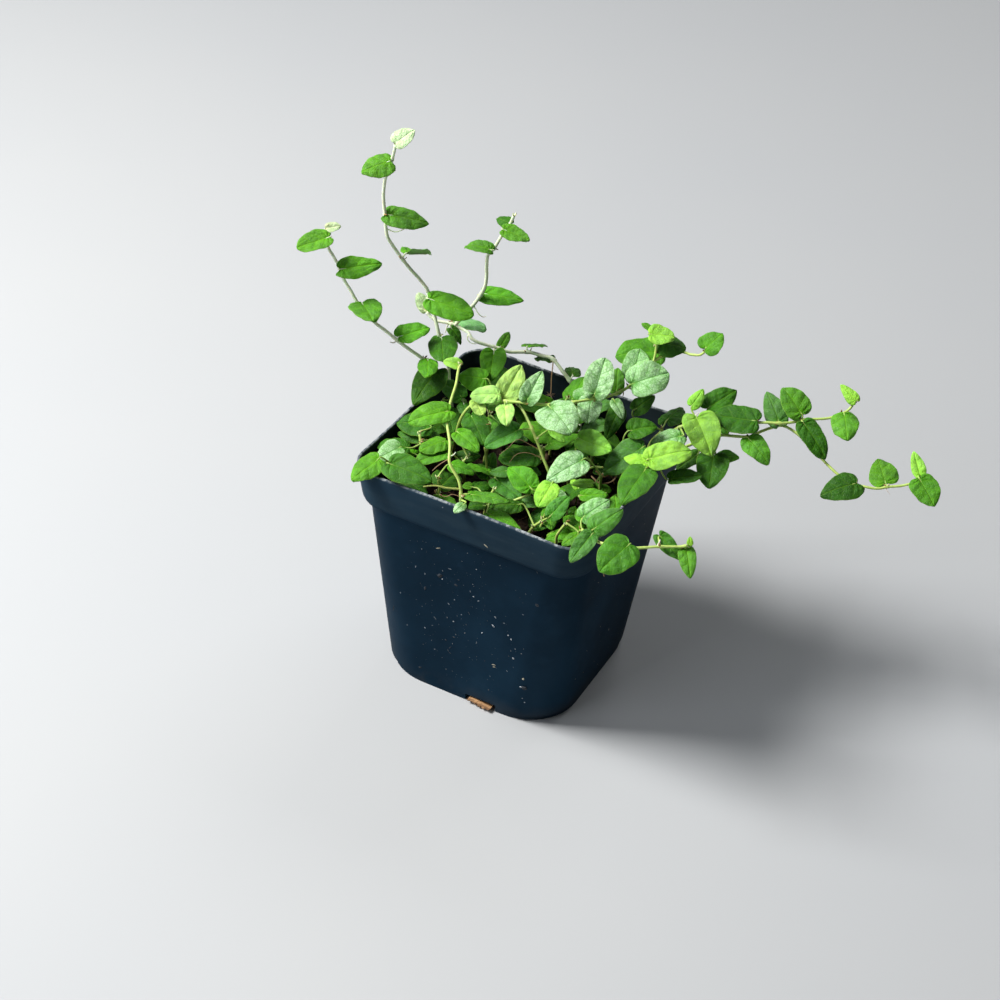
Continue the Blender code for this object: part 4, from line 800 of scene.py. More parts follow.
def mix_rings(make_ring, sink):
    """The rings of the mix from its floor to its edge, which lies a little lower, and the ring of its top."""
    gap = 2 * MIX_GAP
    top = make_ring(MIX_SIDE - gap, MIX_CORNER, MIX_TOP - 0.6)
    rings = [
        make_ring(BASE_SIDE - 2.5 - gap, FOOT_CORNER - 0.4, FLOOR_THICK + MIX_GAP),
        make_ring(BASE_SIDE - 2.1 - gap, FOOT_CORNER - 0.6, STEP_HEIGHT + 1.1),
        make_ring(BASE_SIDE - 1.6 - gap, WALL_CORNER - 0.7, STEP_HEIGHT + 2.8),
        [Vector((p.x, p.y, mix_height(p.x, p.y) - sink)) for p in top],
    ]
    return rings, top


def drawn_in(points, share, height_at):
    """A ring drawn in towards the middle and laid on a surface."""
    return [Vector((p.x * share, p.y * share, height_at(p.x * share, p.y * share))) for p in points]


def mix_mesh():
    """The potting mix as one closed solid with an uneven top."""
    rings, top = mix_rings(ring, 0.9)
    rings += [drawn_in(top, share, mix_height) for share in (0.82, 0.62, 0.42, 0.22)]
    verts, faces = lofted(rings)
    count = len(top)
    last = (len(rings) - 1) * count
    faces.pop()
    verts.append(Vector((0, 0, mix_height(0, 0))))
    faces += [(last + k, last + (k + 1) % count, len(verts) - 1) for k in range(count)]
    return verts, faces


def box(low, high):
    corners = [Vector((x, y, z)) for z in (low[2], high[2]) for x, y in
               ((low[0], low[1]), (high[0], low[1]), (high[0], high[1]), (low[0], high[1]))]
    faces = [(3, 2, 1, 0), (4, 5, 6, 7), (0, 1, 5, 4), (1, 2, 6, 5), (2, 3, 7, 6), (3, 0, 4, 7)]
    return corners, faces


def slot_mesh(quarter):
    """A drain slot at the foot of a wall, a little to the right of its middle: 0 is the front, 2 the back."""
    low = Vector((SLOT_OFFSET - SLOT_WIDTH / 2, -BASE_SIDE / 2 - SLOT_DEPTH, -1))
    high = Vector((SLOT_OFFSET + SLOT_WIDTH / 2, -BASE_SIDE / 2 + SLOT_DEPTH, SLOT_HEIGHT))
    verts, faces = box(low, high)
    turn = Matrix.Rotation(quarter * math.pi / 2, 3, "Z")
    return [turn @ vert for vert in verts], faces


def floor_hole_mesh(quarter, sides):
    """The round drain hole of the floor towards one corner."""
    angle = math.pi / 4 + quarter * math.pi / 2
    middle = Vector((math.cos(angle), math.sin(angle), 0)) * FLOOR_HOLE_OUT
    return tube([middle + Vector((0, 0, -1)), middle + Vector((0, 0, 3))], FLOOR_HOLE_RADIUS, sides)


def lay_out_plant():
    """Works out every stem, stalk and leaf."""
    plant = Plant()
    for node, routes in ROUTES.items():
        plant.add_stem(node, [[on_sight_line(*place) for place in route] for route in routes])
    for node, entries in VINE_LEAVES.items():
        for entry in entries:
            plant.add_vine_leaf(node, entry)
    plant.add_sprigs()
    for entry in POT_LEAVES:
        plant.add_pot_leaf(entry)
    plant.add_fill(LEAF_FILL)
    return plant


# What only the render needs

MM = 0.001

# Material slots: the two of a leafy stem, and the only one of dust and loose bits
LEAF_SKIN, STEM_SKIN = 0, 1
CRUMBS = 0

# The two outlines that each leaf's is drawn between: (along, across) as shares of length and half width
HEART = [(0.0, 0.0), (-0.10, 0.15), (-0.17, 0.40), (-0.11, 0.72), (0.05, 0.96), (0.22, 1.03), (0.42, 0.94),
         (0.60, 0.79), (0.76, 0.57), (0.88, 0.35), (0.95, 0.19), (0.99, 0.07), (1.0, 0.0)]
ROUND = [(0.0, 0.0), (-0.08, 0.15), (-0.125, 0.39), (-0.06, 0.70), (0.08, 0.92), (0.28, 1.02), (0.50, 0.99),
         (0.69, 0.88), (0.83, 0.67), (0.92, 0.44), (0.97, 0.24), (0.995, 0.08), (1.0, 0.0)]

# Side veins along each half of a blade, and how far those of the two halves are out of step
VEINS = 5.5
VEIN_STAGGER = 0.45

# Half the thickness of a blade along its middle, and how much less it is at its edge
HALF_THICK = 0.16
EDGE_LESS = 0.07

# Rows along and steps across a blade, up to a length
GRIDS_BY_LENGTH = ((6, (16, 6)), (9, (24, 8)), (math.inf, (32, 10)))

# Radius of a stem where it starts, the share that it loses to its tip, and how far it goes on under the mix
PALE_STEM_RADIUS, MAIN_STEM_RADIUS, SIDE_STEM_RADIUS = 0.72, 0.58, 0.54
STEM_TAPER = 0.24
STEM_UNDER = 3.0

# Leaf tones: colour of the upper face, then how silvery it is, which is partly the leaf's own silver and
# partly painted sheen.
# p is patterned with silver and painted sheen, y yellow green, l a light lime that paints the light on leaves
# that catch it, g green, k deep green, d dark, which also paints the shade on leaves deep among the others, b
# bluish, w almost white, a young leaf's paleness with a painted highlight on it, and u greyish like an
# underside.
TONES = {
    "p": ((0.100, 0.340, 0.022), 0.80),
    "y": ((0.290, 0.660, 0.045), 0.12),
    "l": ((0.500, 0.850, 0.170), 0.20),
    "g": ((0.082, 0.315, 0.003), 0.06),
    "k": ((0.038, 0.200, 0.002), 0.05),
    "d": ((0.024, 0.132, 0.002), 0.03),
    "b": ((0.038, 0.205, 0.006), 0.14),
    "w": ((0.700, 0.850, 0.520), 0.60),
    "u": ((0.090, 0.300, 0.085), 0.30),
}
# The pale stems' colour is their own pale mint made lighter still, which paints the strong light on them.
PALE_STEM = (0.86, 0.94, 0.72)
GREEN_STEM = (0.50, 0.68, 0.17)
OLIVE_STEM = (0.33, 0.39, 0.09)
NODE_BROWN = (0.32, 0.19, 0.07)
NODE_GREEN = (0.55, 0.60, 0.30)
TIP_GREEN = (0.62, 0.70, 0.36)
ROOT_BROWN = (0.34, 0.21, 0.11)
TUFT_BROWN = (0.36, 0.25, 0.16)
ROOT_WHITE = (0.78, 0.76, 0.70)
STEM_TONES = {"vine_tall_back": PALE_STEM, "vine_left": PALE_STEM, "vine_back": PALE_STEM}

# Small shoots and aerial roots that the photo shows: tone, radius, places on the sheet from the stem outwards
SHOOTS = {
    "vine_tall_back": [
        (PALE_STEM, 0.26, [(-46.9, 73.4), (-45, 72.4), (-42.9, 72.8), (-40.3, 74.1)]),
    ],
    "vine_left": [
        (ROOT_WHITE, 0.30, [(-44, 35.2), (-45.2, 34.4), (-46.4, 34.6)]),
        (ROOT_BROWN, 0.16, [(-31.6, 25), (-33.7, 23.4), (-36.2, 20.6), (-38, 18)]),
    ],
    "vine_back": [
        (ROOT_WHITE, 0.34, [(-26.2, 41), (-26.6, 42.4), (-26.9, 43.6)]),
        (ROOT_WHITE, 0.34, [(-26.8, 41), (-27.2, 39.4), (-27.6, 37.8)]),
        (PALE_STEM, 0.24, [(-19.6, 37.4), (-20, 35.6), (-18.6, 34.2), (-17, 34)]),
        (PALE_STEM, 0.24, [(-18.2, 47.2), (-16.4, 44.6), (-14.6, 43.2), (-13.6, 43.6)]),
        (ROOT_BROWN, 0.24, [(9.2, 28.6), (9.2, 26), (8.8, 22.5), (8.7, 19), (8.5, 16.6)]),
        (ROOT_WHITE, 0.34, [(-4.6, 77), (-3.8, 78.2), (-3.2, 79)]),
    ],
    "vine_right_upper": [
        (ROOT_WHITE, 0.24, [(57.5, 7), (58, 9.4), (59.4, 10.4)]),
    ],
    "vine_right_lower": [
        (ROOT_WHITE, 0.30, [(64, -3.6), (65, -4.6), (65.4, -5.4)]),
        (PALE_STEM, 0.28, [(134.6, -12.4), (135.6, -13.6), (135.4, -14.8)]),
    ],
    "vine_front_right": [
        (ROOT_WHITE, 0.40, [(45.4, -35), (45.8, -34), (46, -33.2)]),
        (ROOT_BROWN, 0.14, [(26.2, -43.2), (26.7, -44.6), (27, -45.6)]),
        (NODE_BROWN, 0.42, [(18.6, -29.6), (20, -30.6), (21.8, -31.4)]),
    ],
    "vine_over_left": [
        (ROOT_BROWN, 0.18, [(-26.5, -5), (-28.4, -6.6), (-30.4, -8), (-32, -9.5)]),
        (PALE_STEM, 0.26, [(-26.2, -4.6), (-25, -4.2), (-24, -3.2)]),
        (OLIVE_STEM, 0.42, [(-22.4, -16), (-27, -15.4), (-31, -14.6), (-35, -14.9)]),
        (ROOT_BROWN, 0.16, [(-22.3, -19), (-25, -17.6), (-27.6, -18.4), (-29.6, -17.4)]),
    ],
    "vine_middle": [
        (ROOT_BROWN, 0.14, [(4.6, -2), (1.6, -0.6), (-2.8, 1.2), (-6, -1.6), (-9, -4)]),
        (ROOT_BROWN, 0.12, [(5.8, -5), (1, -3.4), (-3, -3.8), (-5.6, -6.6)]),
    ],
}

# The place on the sheet where the long root ends in a tuft of hairs
TUFT = (8.5, 16.6)
TUFT_HAIRS = 16

# Bare stems and roots between the leaves: tone, radius, then places on the sheet with their heights
RUNNERS = [
    (GREEN_STEM, 0.46, [(-7.4, -20.8, 85), (-3, -19.3, 87), (1.4, -17.6, 89)]),
    (GREEN_STEM, 0.42, [(4.4, -30, 79), (6.4, -26, 84), (7.8, -22, 87.5), (9.2, -18.5, 91)]),
    (OLIVE_STEM, 0.44, [(-14, -1.5, 90), (-13.6, -6, 86), (-12.9, -13.3, 79)]),
    (ROOT_BROWN, 0.26, [(22.5, -11.4, 85), (25.5, -13.8, 85), (29.5, -13.2, 86), (31.6, -10.6, 88)]),
    (NODE_BROWN, 0.22, [(24, -9.6, 87), (26.6, -11.6, 86), (29, -11, 87), (30.4, -14, 84)]),
    (GREEN_STEM, 0.42, [(20.6, -9.6, 89), (23, -8.2, 90.5), (26.4, -8.4, 91)]),
    (ROOT_BROWN, 0.20, [(12.8, -26.6, 82), (14.2, -24, 84), (13.4, -20.6, 86)]),
]

# Small leaves low over the mix: place on the sheet, height, length, half width, way of the tip in degrees
# and tone
LOW_LEAVES = [
    (24.8, -15.7, 83, 7.0, 2.6, 155, "g"), (19.8, -16.2, 82, 5.6, 1.8, 200, "y"),
    (12.1, -20.4, 83, 7.0, 3.0, -60, "p"), (16.4, -26.6, 80, 7.4, 3.2, 250, "g"),
    (5.4, -26.7, 80, 9.4, 3.4, 200, "g"), (12.6, -31.6, 79, 9.0, 2.3, 12, "y"),
    (30.6, -20.4, 82, 6.0, 2.4, 80, "d"), (16.9, -14.0, 84, 4.4, 1.6, 130, "y"),
    (22.0, -21.5, 81, 5.4, 2.2, 20, "d"), (8.4, -15.5, 81, 6.6, 2.6, 110, "d"),
    (-20.0, -4.8, 84, 9.0, 2.6, 8, "d"), (-12.0, -6.2, 82, 7.0, 2.8, 75, "d"),
    (-2.6, -6.4, 82, 7.6, 3.0, 160, "d"), (2.4, -9.6, 81, 6.4, 2.6, -20, "b"),
    (-7.6, -12.4, 80, 6.2, 2.5, 215, "d"), (27.2, -5.6, 84, 6.4, 2.6, 30, "d"),
]


# Meshes of the leafy stems

def array(vector):
    return np.array((vector.x, vector.y, vector.z))


def linked(name, data):
    """A new object in the scene."""
    obj = bpy.data.objects.new(name, data)
    bpy.context.scene.collection.objects.link(obj)
    return obj


class Build:
    """Collects vertices, faces and what the materials read, for one mesh."""

    def __init__(self):
        self.verts, self.faces, self.slots = [], [], []
        self.place, self.veins, self.tone = [], [], []
        self.count = 0

    def add(self, verts, faces, slot, tone, place=None, veins=None):
        """Adds faces of one slot, in one tone or with a tone for each vertex."""
        number = len(verts)
        self.verts.append(np.asarray(verts, dtype=float))
        self.faces += [tuple(i + self.count for i in face) for face in faces]
        self.slots += [slot] * len(faces)
        self.place.append(np.zeros((number, 3)) if place is None else place)
        self.veins.append(np.zeros((number, 3)) if veins is None else veins)
        tone = np.asarray(tone, dtype=float)
        self.tone.append(np.tile(tone, (number, 1)) if tone.ndim == 1 else tone)
        self.count += number

    def piece(self, name, materials):
        """The object, with what the materials read as attributes of its points."""
        data = bpy.data.meshes.new(name)
        verts = np.concatenate(self.verts) * MM
        data.from_pydata(verts.tolist(), [], self.faces)
        for attribute, kind, values, size in (("leaf_place", "FLOAT_VECTOR", self.place, 3),
                                              ("leaf_veins", "FLOAT_VECTOR", self.veins, 3),
                                              ("leaf_tone", "FLOAT_COLOR", self.tone, 4)):
            made = data.attributes.new(attribute, kind, "POINT")
            key = "color" if size == 4 else "vector"
            made.data.foreach_set(key, np.concatenate(values).astype(np.float32).ravel())
        for one in materials:
            data.materials.append(one)
        data.polygons.foreach_set("material_index", np.array(self.slots, dtype=np.int32))
        data.polygons.foreach_set("use_smooth", np.ones(len(self.faces), dtype=bool))
        data.update()
        return linked(name, data)


def soft_tube(points, radii, sides):
    """A closed tube with a radius at each point and a small tip at both ends: (vertices, faces, shares)."""
    last = len(points) - 1
    verts, faces = sweep(points, radii, sides)
    shares = [i / last for i in range(last + 1) for _ in range(sides)] + [0.0, 1.0]
    first = (points[1] - points[0]).normalized()
    end = (points[-1] - points[-2]).normalized()
    verts += [points[0] - first * radii[0] * 0.6, points[-1] + end * radii[-1] * 0.8]
    low, high = len(verts) - 2, len(verts) - 1
    for k in range(sides):
        faces.append((low, (k + 1) % sides, k))
        faces.append((high, last * sides + k, last * sides + (k + 1) % sides))
    return [tuple(v) for v in verts], faces, np.array(shares)


def blended(first_tone, last_tone, shares):
    """Tones between two colours, with nothing silvery."""
    shares = shares[:, None]
    return np.array((*first_tone, 0.0)) * (1 - shares) + np.array((*last_tone, 0.0)) * shares


def add_tube(build, points, radii, sides, slot, first_tone, last_tone=None):
    """A tube whose colour runs from one tone to another."""
    verts, faces, shares = soft_tube(points, radii, sides)
    tone = blended(first_tone, first_tone if last_tone is None else last_tone, shares)
    build.add(verts, faces, slot, tone, np.array(verts))


def resampled(curve, count):
    """count + 1 points evenly along a curve."""
    points = np.array([tuple(p) for p in curve])
    steps = np.concatenate([[0], np.cumsum(np.linalg.norm(np.diff(points, axis=0), axis=1))])
    at = np.linspace(0, steps[-1], count + 1)
    return np.stack([np.interp(at, steps, points[:, i]) for i in range(3)], axis=1)


def own_number(leaf):
    """A whole number of the leaf's own, which the draws of its looks start from."""
    return round(leaf.seed * 1e6)


def half_outline(leaf, side, rows):
    """One side's outline from notch to tip, between a heart and an oval and slightly uneven: (s, h)."""
    common = random.Random(own_number(leaf) + 3)
    kind = common.random()
    draw = random.Random(own_number(leaf) * 2 + (side > 0))
    lobe, full = draw.uniform(0.60, 1.20), draw.uniform(0.93, 1.05)
    shoulder, taper = draw.uniform(-0.03, 0.03), draw.uniform(-0.06, 0.04)
    knots = []
    for (s_heart, h_heart), (s_round, h_round) in zip(HEART, ROUND):
        s, h = s_heart + (s_round - s_heart) * kind, h_heart + (h_round - h_heart) * kind
        along = s * lobe if s < 0 else s + shoulder * math.sin(math.pi * s)
        across = h * full * (1 + taper * math.sin(math.pi * min(1, max(0, (s - 0.4) / 0.6))))
        knots.append(Vector((along * leaf.length, across * leaf.half, 0)))
    curve = resampled(smooth_route(knots, 0.03 * leaf.length), rows)
    return curve[:, 0] / leaf.length, np.maximum(curve[:, 1], 0) / leaf.half


def middle_share(share):
    """Where on the midrib the vein to this share of the outline starts."""
    knots = [Vector((s, h * 0.42, 0)) for s, h in ROUND]
    curve = resampled(smooth_route(knots, 0.02), 100)
    row = curve[min(100, max(0, round(share * 100)))]
    return max(0.0, row[0] - 0.62 * row[1])


@cache
def blade_grid(rows, steps):
    """Vertices as (row, share across, side) and the faces of a blade's top, for one fineness."""
    middle = np.array([middle_share(k / rows) for k in range(rows + 1)])
    middle[0], middle[rows] = 0.0, 1.0
    across = [0.965 * j / (steps - 1) for j in range(steps)] + [1.0]
    spots = [(0, 0.0, 1), (rows, 0.0, 1)]
    number = {}
    for k in range(rows + 1):
        for side in (1, -1):
            for j in range(steps + 1):
                if k == 0 or (j == 0 and middle[k] < 1e-6):
                    number[(k, j, side)] = 0
                elif k == rows:
                    number[(k, j, side)] = 1
                elif j == 0 and side == -1:
                    number[(k, j, side)] = number[(k, 0, 1)]
                else:
                    number[(k, j, side)] = len(spots)
                    spots.append((k, across[j], side))
    top, rim = [], []
    for side in (1, -1):
        for k in range(rows):
            for j in range(steps):
                corners = [number[(k, j, side)], number[(k + 1, j, side)],
                           number[(k + 1, j + 1, side)], number[(k, j + 1, side)]]
                if side == 1:
                    corners = [corners[0], corners[3], corners[2], corners[1]]
                kept = [c for i, c in enumerate(corners) if c != corners[i - 1]]
                if len(set(kept)) > 2:
                    top.append(tuple(kept))
            a, b = number[(k, steps, side)], number[(k + 1, steps, side)]
            rim.append((b, a) if side == 1 else (a, b))
    return np.array(spots), middle, top, rim


def vein_at(share, side):
    """The number of the side vein that reaches the edge at a share of the outline, with its fraction."""
    return share * VEINS + np.where(side > 0, 0.0, VEIN_STAGGER)


def blade_lift(leaf, s, h, share, across, side):
    """How far the blade stands off its smooth form: puckers between veins, a soft wave and a curled tip."""
    turn = leaf.seed * 37.0
    vein = vein_at(share, side)
    part = vein - np.floor(vein)
    inner = np.sin(np.pi * np.clip(across, 0, 1)) ** 0.7
    pucker = np.sin(np.pi * part) ** 1.2 * inner
    cross = 0.5 + 0.5 * np.cos(2 * np.pi * (across * 2.6 + 0.2 * np.floor(vein)) + turn)
    lift = leaf.length * 0.030 * pucker * (0.6 + 0.6 * cross)
    rough = 0.035 + 0.055 * abs(math.sin(turn * 1.7))
    lift += leaf.half * rough * across ** 2 * np.sin(2 * np.pi * share * 2.1 + turn + side)
    lift += leaf.half * 0.03 * across ** 3 * np.sin(2 * np.pi * share * 5.3 - turn * 2 + side)
    lift -= leaf.length * (0.02 + 0.09 * abs(math.sin(turn * 3))) * np.clip(s, 0, 1) ** 4
    lift -= leaf.half * 0.06 * across ** 4
    lift -= 0.16 * np.exp(-(h * leaf.half / 0.35) ** 2) * np.clip(1 - s, 0, 1)
    lift += leaf.half * 0.16 * math.sin(turn * 2.3) * np.abs(h) * np.sqrt(np.clip(1.1 - s, 0, 1))
    return lift


def add_blade(build, leaf, tone):
    """A thin blade with its outline, puckers and the places that its veins are drawn from."""
    rows, steps = next(grid for length, grid in GRIDS_BY_LENGTH if leaf.length < length)
    spots, middle, top, rim = blade_grid(rows, steps)
    row = spots[:, 0].astype(int)
    across, side = spots[:, 1], spots[:, 2]
    right, left = half_outline(leaf, 1, rows), half_outline(leaf, -1, rows)
    edge_s = np.where(side > 0, right[0][row], left[0][row])
    edge_h = np.where(side > 0, right[1][row], -left[1][row])
    s = middle[row] * (1 - across) + edge_s * across
    h = edge_h * across
    share = row / rows
    lift = leaf.arch * leaf.length * 4 * s * (1 - s)
    lift += leaf.half * (leaf.fold * np.abs(h) + leaf.cup * h * h + leaf.twist * h * s)
    lift += blade_lift(leaf, s, h, share, across, side)
    spine, wing, face = array(leaf.axis), array(leaf.side), array(leaf.face)
    base = array(leaf.root) + np.outer(s * leaf.length, spine) + np.outer(h * leaf.half, wing)
    half_thick = (HALF_THICK - EDGE_LESS * across)[:, None] * face
    upper = base + np.outer(lift, face) + half_thick
    under = base + np.outer(lift, face) - half_thick
    count = len(spots)
    faces = list(top) + [tuple(i + count for i in reversed(corners)) for corners in top]
    for a, b in rim:
        faces.append((a, b, b + count, a + count))
    place = np.stack([s * leaf.length, h * leaf.half, np.full(count, leaf.seed * 50)], axis=1)
    veins = np.stack([vein_at(share, side), across, np.zeros(count)], axis=1)
    low_veins = veins.copy()
    low_veins[:, 2] = 1.0
    build.add(np.concatenate([upper, under]), faces, LEAF_SKIN, tone, np.concatenate([place, place]),
              np.concatenate([veins, low_veins]))


def leaf_tone(leaf):
    """The colour of a leaf and how silvery it is, own silver and painted sheen together, drawn a little to
    either side of its tone.
    """
    draw = random.Random(own_number(leaf) + 5)
    colour, silver_sheen = TONES[leaf.tone]
    light, warm = draw.uniform(0.76, 1.20), draw.uniform(0.84, 1.09)
    return (colour[0] * light * warm, colour[1] * light, colour[2] * light / warm,
            min(1, silver_sheen * draw.uniform(0.7, 1.3)))


def fine_stalk(leaf, coarse):
    """The leaf stalk as a smooth curve that runs on into the midrib."""
    points = coarse[:-1]
    reach = (leaf.root - points[-1]).length
    if reach > 1.6:
        points.append(leaf.root - leaf.axis * min(1.2, reach * 0.35) - leaf.face * 0.1)
    points.append(leaf.point(0.03, 0) - leaf.face * 0.16)
    points.append(leaf.point(0.12, 0) - leaf.face * 0.24)
    return smooth_route(points, 0.5)


def add_scale(build, place, along, out, length, width, tone):
    """A small pointed stipule at a node."""
    side = along.cross(out).normalized()
    rows = []
    for share, wide, off in ((0, 0.7, 0.0), (0.35, 1.0, 0.22), (0.7, 0.6, 0.30), (1.0, 0.05, 0.26)):
        middle = place + along * (length * share) + out * (length * off)
        for across in (-1, -0.4, 0.4, 1):
            bow = out * (width * 0.35 * (1 - across * across))
            rows.append(middle + side * (across * width * wide / 2) + bow)
    verts = rows + [v - out * 0.10 for v in rows]
    faces = []
    for i in range(3):
        for k in range(3):
            a = i * 4 + k
            faces.append((a, a + 4, a + 5, a + 1))
            faces.append((a + 16, a + 17, a + 21, a + 20))
    loop = [0, 1, 2, 3, 7, 11, 15, 14, 13, 12, 8, 4]
    for a, b in zip(loop, loop[1:] + loop[:1]):
        faces.append((a, b, b + 16, a + 16))
    verts = [tuple(v) for v in verts]
    build.add(verts, faces, STEM_SKIN, (*tone, 0.0), np.array(verts))


def any_way(draw, sideways, low, high):
    """A direction drawn at random: across within sideways, up between low and high."""
    return Vector((draw.uniform(-sideways, sideways), draw.uniform(-sideways, sideways),
                   draw.uniform(low, high)))


def wander(start, heading, length, draw, drop=0.0, wild=0.35):
    """A root hair that wanders from a start."""
    points, count = [start], max(4, int(length / 0.6))
    heading = heading.normalized()
    for _ in range(count):
        turn = any_way(draw, 1, -1, 1) * wild
        heading = (heading + turn - Vector((0, 0, drop))).normalized()
        points.append(points[-1] + heading * (length / count))
    return smooth_route(points, 0.3)


def add_root(build, points, radius, tone):
    """A fine root that thins towards its end."""
    count = len(points)
    radii = [radius * (1 - 0.75 * i / (count - 1)) for i in range(count)]
    add_tube(build, points, radii, 5, STEM_SKIN, tone)


def in_view(across, up, point):
    """Where the sight line through a place on the sheet passes a point of a stem."""
    ray = (sheet_point(across, up) - EYE).normalized()
    return EYE + ray * (point - EYE).dot(ray)


def add_shoots(build, node, plant, draw):
    """The aerial roots and bare shoots of one stem, and the tuft of hairs at the end of the long root."""
    places = list(plant.stem_points(node))
    for tone, radius, path in SHOOTS.get(node, []):
        spots = [(in_view(*path[0], point) - point).length for point in places]
        start = places[spots.index(min(spots))]
        points = [start] + [in_view(*place, start) for place in path[1:]]
        curve = smooth_route(points, 0.4)
        radii = [radius * (1 - 0.45 * i / len(curve)) for i in range(len(curve))]
        add_tube(build, curve, radii, 7, STEM_SKIN, tone)
        if path[-1] == TUFT:
            for _ in range(TUFT_HAIRS):
                down = any_way(draw, 1, -1, 0.4)
                hair = wander(points[-1], down, draw.uniform(1.0, 2.6), draw, 0.1)
                add_root(build, hair, 0.10, TUFT_BROWN)


def add_low_leaves(build, draw):
    """The small leaves low over the mix, each on a stalk from the mix."""
    for across, up, height, length, half, turn, tone in LOW_LEAVES:
        turn = math.radians(turn)
        axis = ACROSS * math.cos(turn) + UP * math.sin(turn) + BACK * draw.uniform(-0.35, 0.15)
        face = BACK + Vector((draw.uniform(-0.4, 0.4), draw.uniform(-0.4, 0.4), 0.7))
        root = on_sight_line(across, up, height) - axis.normalized() * (length / 2)
        leaf = Leaf(root, axis, face, length, half, draw, tone)
        add_blade(build, leaf, leaf_tone(leaf))
        foot = Vector((root.x + draw.uniform(-2, 2), root.y + draw.uniform(-2, 2),
                       mix_height(root.x, root.y) - 1))
        bend = (foot + root) / 2 + Vector((0.3, -0.3, 0.4))
        stalk = smooth_route([foot, bend, leaf.point(0.06, 0)], 0.5)
        add_tube(build, stalk, [0.30] * len(stalk), 7, STEM_SKIN, OLIVE_STEM, GREEN_STEM)


def stem_radius(share, first, pale):
    """The radius of a stem at a share of its length: the pale ones are thickest, side stems thinnest."""
    widest = PALE_STEM_RADIUS if pale else MAIN_STEM_RADIUS if first else SIDE_STEM_RADIUS
    return widest * (1 - STEM_TAPER * share)


def add_stem_skin(build, node, plant, number, curve, tint):
    """One stem, a little thicker where its leaves start, with two stipules at its tip."""
    points = smooth_route(curve[::2] if len(curve) > 9 else curve, 0.7)
    if number == 0:
        points = [points[0] - Vector((0, 0, STEM_UNDER))] + points
    pale = node in STEM_TONES
    radii = []
    for i, point in enumerate(points):
        near = min([(route[0] - point).length for route in plant.stalks[node]] or [9])
        swell = 0.16 * math.exp(-(near / 0.8) ** 2)
        radii.append(stem_radius(i / len(points), number == 0, pale) + swell)
    verts, faces, shares = soft_tube(points, radii, 9)
    fade = np.clip((shares - 0.02) / (0.30 if node.startswith("vine") else 0.7), 0, 1)
    base = OLIVE_STEM if number == 0 and not pale else tint
    build.add(verts, faces, STEM_SKIN, blended(base, tint, fade), np.array(verts))
    tip = points[-1]
    along = (tip - points[-4]).normalized()
    out = along.orthogonal().normalized()
    for way in (-1, 1):
        add_scale(build, tip - along * 0.3, along, out * way, 1.5, 0.8, TIP_GREEN)


def add_stalk_and_rib(build, leaf, route, tint):
    """The stalk of a leaf and the midrib that stands out of its underside: the stalk's curve."""
    curve = fine_stalk(leaf, route)
    tone = tuple(0.5 * a + 0.5 * b for a, b in zip(tint, leaf_tone(leaf)[:3]))
    radii = [0.36 - 0.10 * i / len(curve) for i in range(len(curve))]
    add_tube(build, curve, radii, 7, STEM_SKIN, tint, tone)
    spots = np.array([0.05, 0.2, 0.4, 0.6, 0.8])
    none = np.zeros(5)
    lifts = blade_lift(leaf, spots, none, none, none, np.ones(5))
    rib = [leaf.point(s, 0) - leaf.face * 0.20 + leaf.face * lift for s, lift in zip(spots, lifts)]
    rib = smooth_route(rib, 1.0)
    add_tube(build, rib, [0.24 - 0.16 * i / 30 for i in range(len(rib))], 6, STEM_SKIN, tone)
    return curve


def add_node_scales(build, start, heading, draw):
    """Two stipules, brown or green, where a stalk leaves its stem."""
    for _ in range(2):
        out = any_way(draw, 1, -0.4, 1).normalized()
        along = (heading + out * 0.6).normalized()
        side = (out - along * out.dot(along)).normalized()
        brown = draw.random() < 0.5
        add_scale(build, start + side * 0.40, along, side, draw.uniform(1.1, 1.9), draw.uniform(0.5, 0.8),
                  NODE_BROWN if brown else NODE_GREEN)


def build_foliage(node, plant, materials):
    """One leafy stem with all its detail, in place of its plain solid."""
    build = Build()
    draw = random.Random(sum(ord(c) for c in node) * 7919)
    tint = STEM_TONES.get(node, GREEN_STEM)
    root_chance = 0.28 if node.startswith("vine") else 0.5
    for number, (curve, _) in enumerate(plant.stems[node]):
        add_stem_skin(build, node, plant, number, curve, tint)
    for leaf, route in zip(plant.leaves[node], plant.stalks[node]):
        start = route[0]
        add_blade(build, leaf, leaf_tone(leaf))
        curve = add_stalk_and_rib(build, leaf, route, tint)
        add_node_scales(build, start, (curve[min(3, len(curve) - 1)] - start).normalized(), draw)
        if draw.random() < root_chance:
            down = Vector((draw.uniform(-0.7, 0.7), draw.uniform(-0.7, 0.7), -0.6))
            add_root(build, wander(start, down, draw.uniform(1.5, 4.5), draw, 0.05), 0.09, ROOT_BROWN)
    add_shoots(build, node, plant, draw)
    if node == "vine_middle":
        for tone, radius, path in RUNNERS:
            curve = smooth_route([on_sight_line(*place) for place in path], 0.6)
            add_tube(build, curve, [radius] * len(curve), 7, STEM_SKIN, tone)
        add_low_leaves(build, draw)
    return build.piece(node + "_foliage", materials)


# The pot's pieces

EDGE_ROUND = 0.45
FOOT_ROUND = 0.22

# The plastic outside and inside, each from its darkest to its lightest haze; the blue cast of the outside's
# tones is painted reflection of a blue surround on black plastic.
POT_TONES = [
    ("dark_plastic", (0.0058, 0.0195, 0.0365), (0.0096, 0.0310, 0.0570)),
    ("inner_plastic", (0.0060, 0.0075, 0.0080), (0.0120, 0.0145, 0.0150)),
]


def fine_ring(side, corner, height, bow=0.0):
    return ring(side, corner, height, bow, steps=12, along=24)


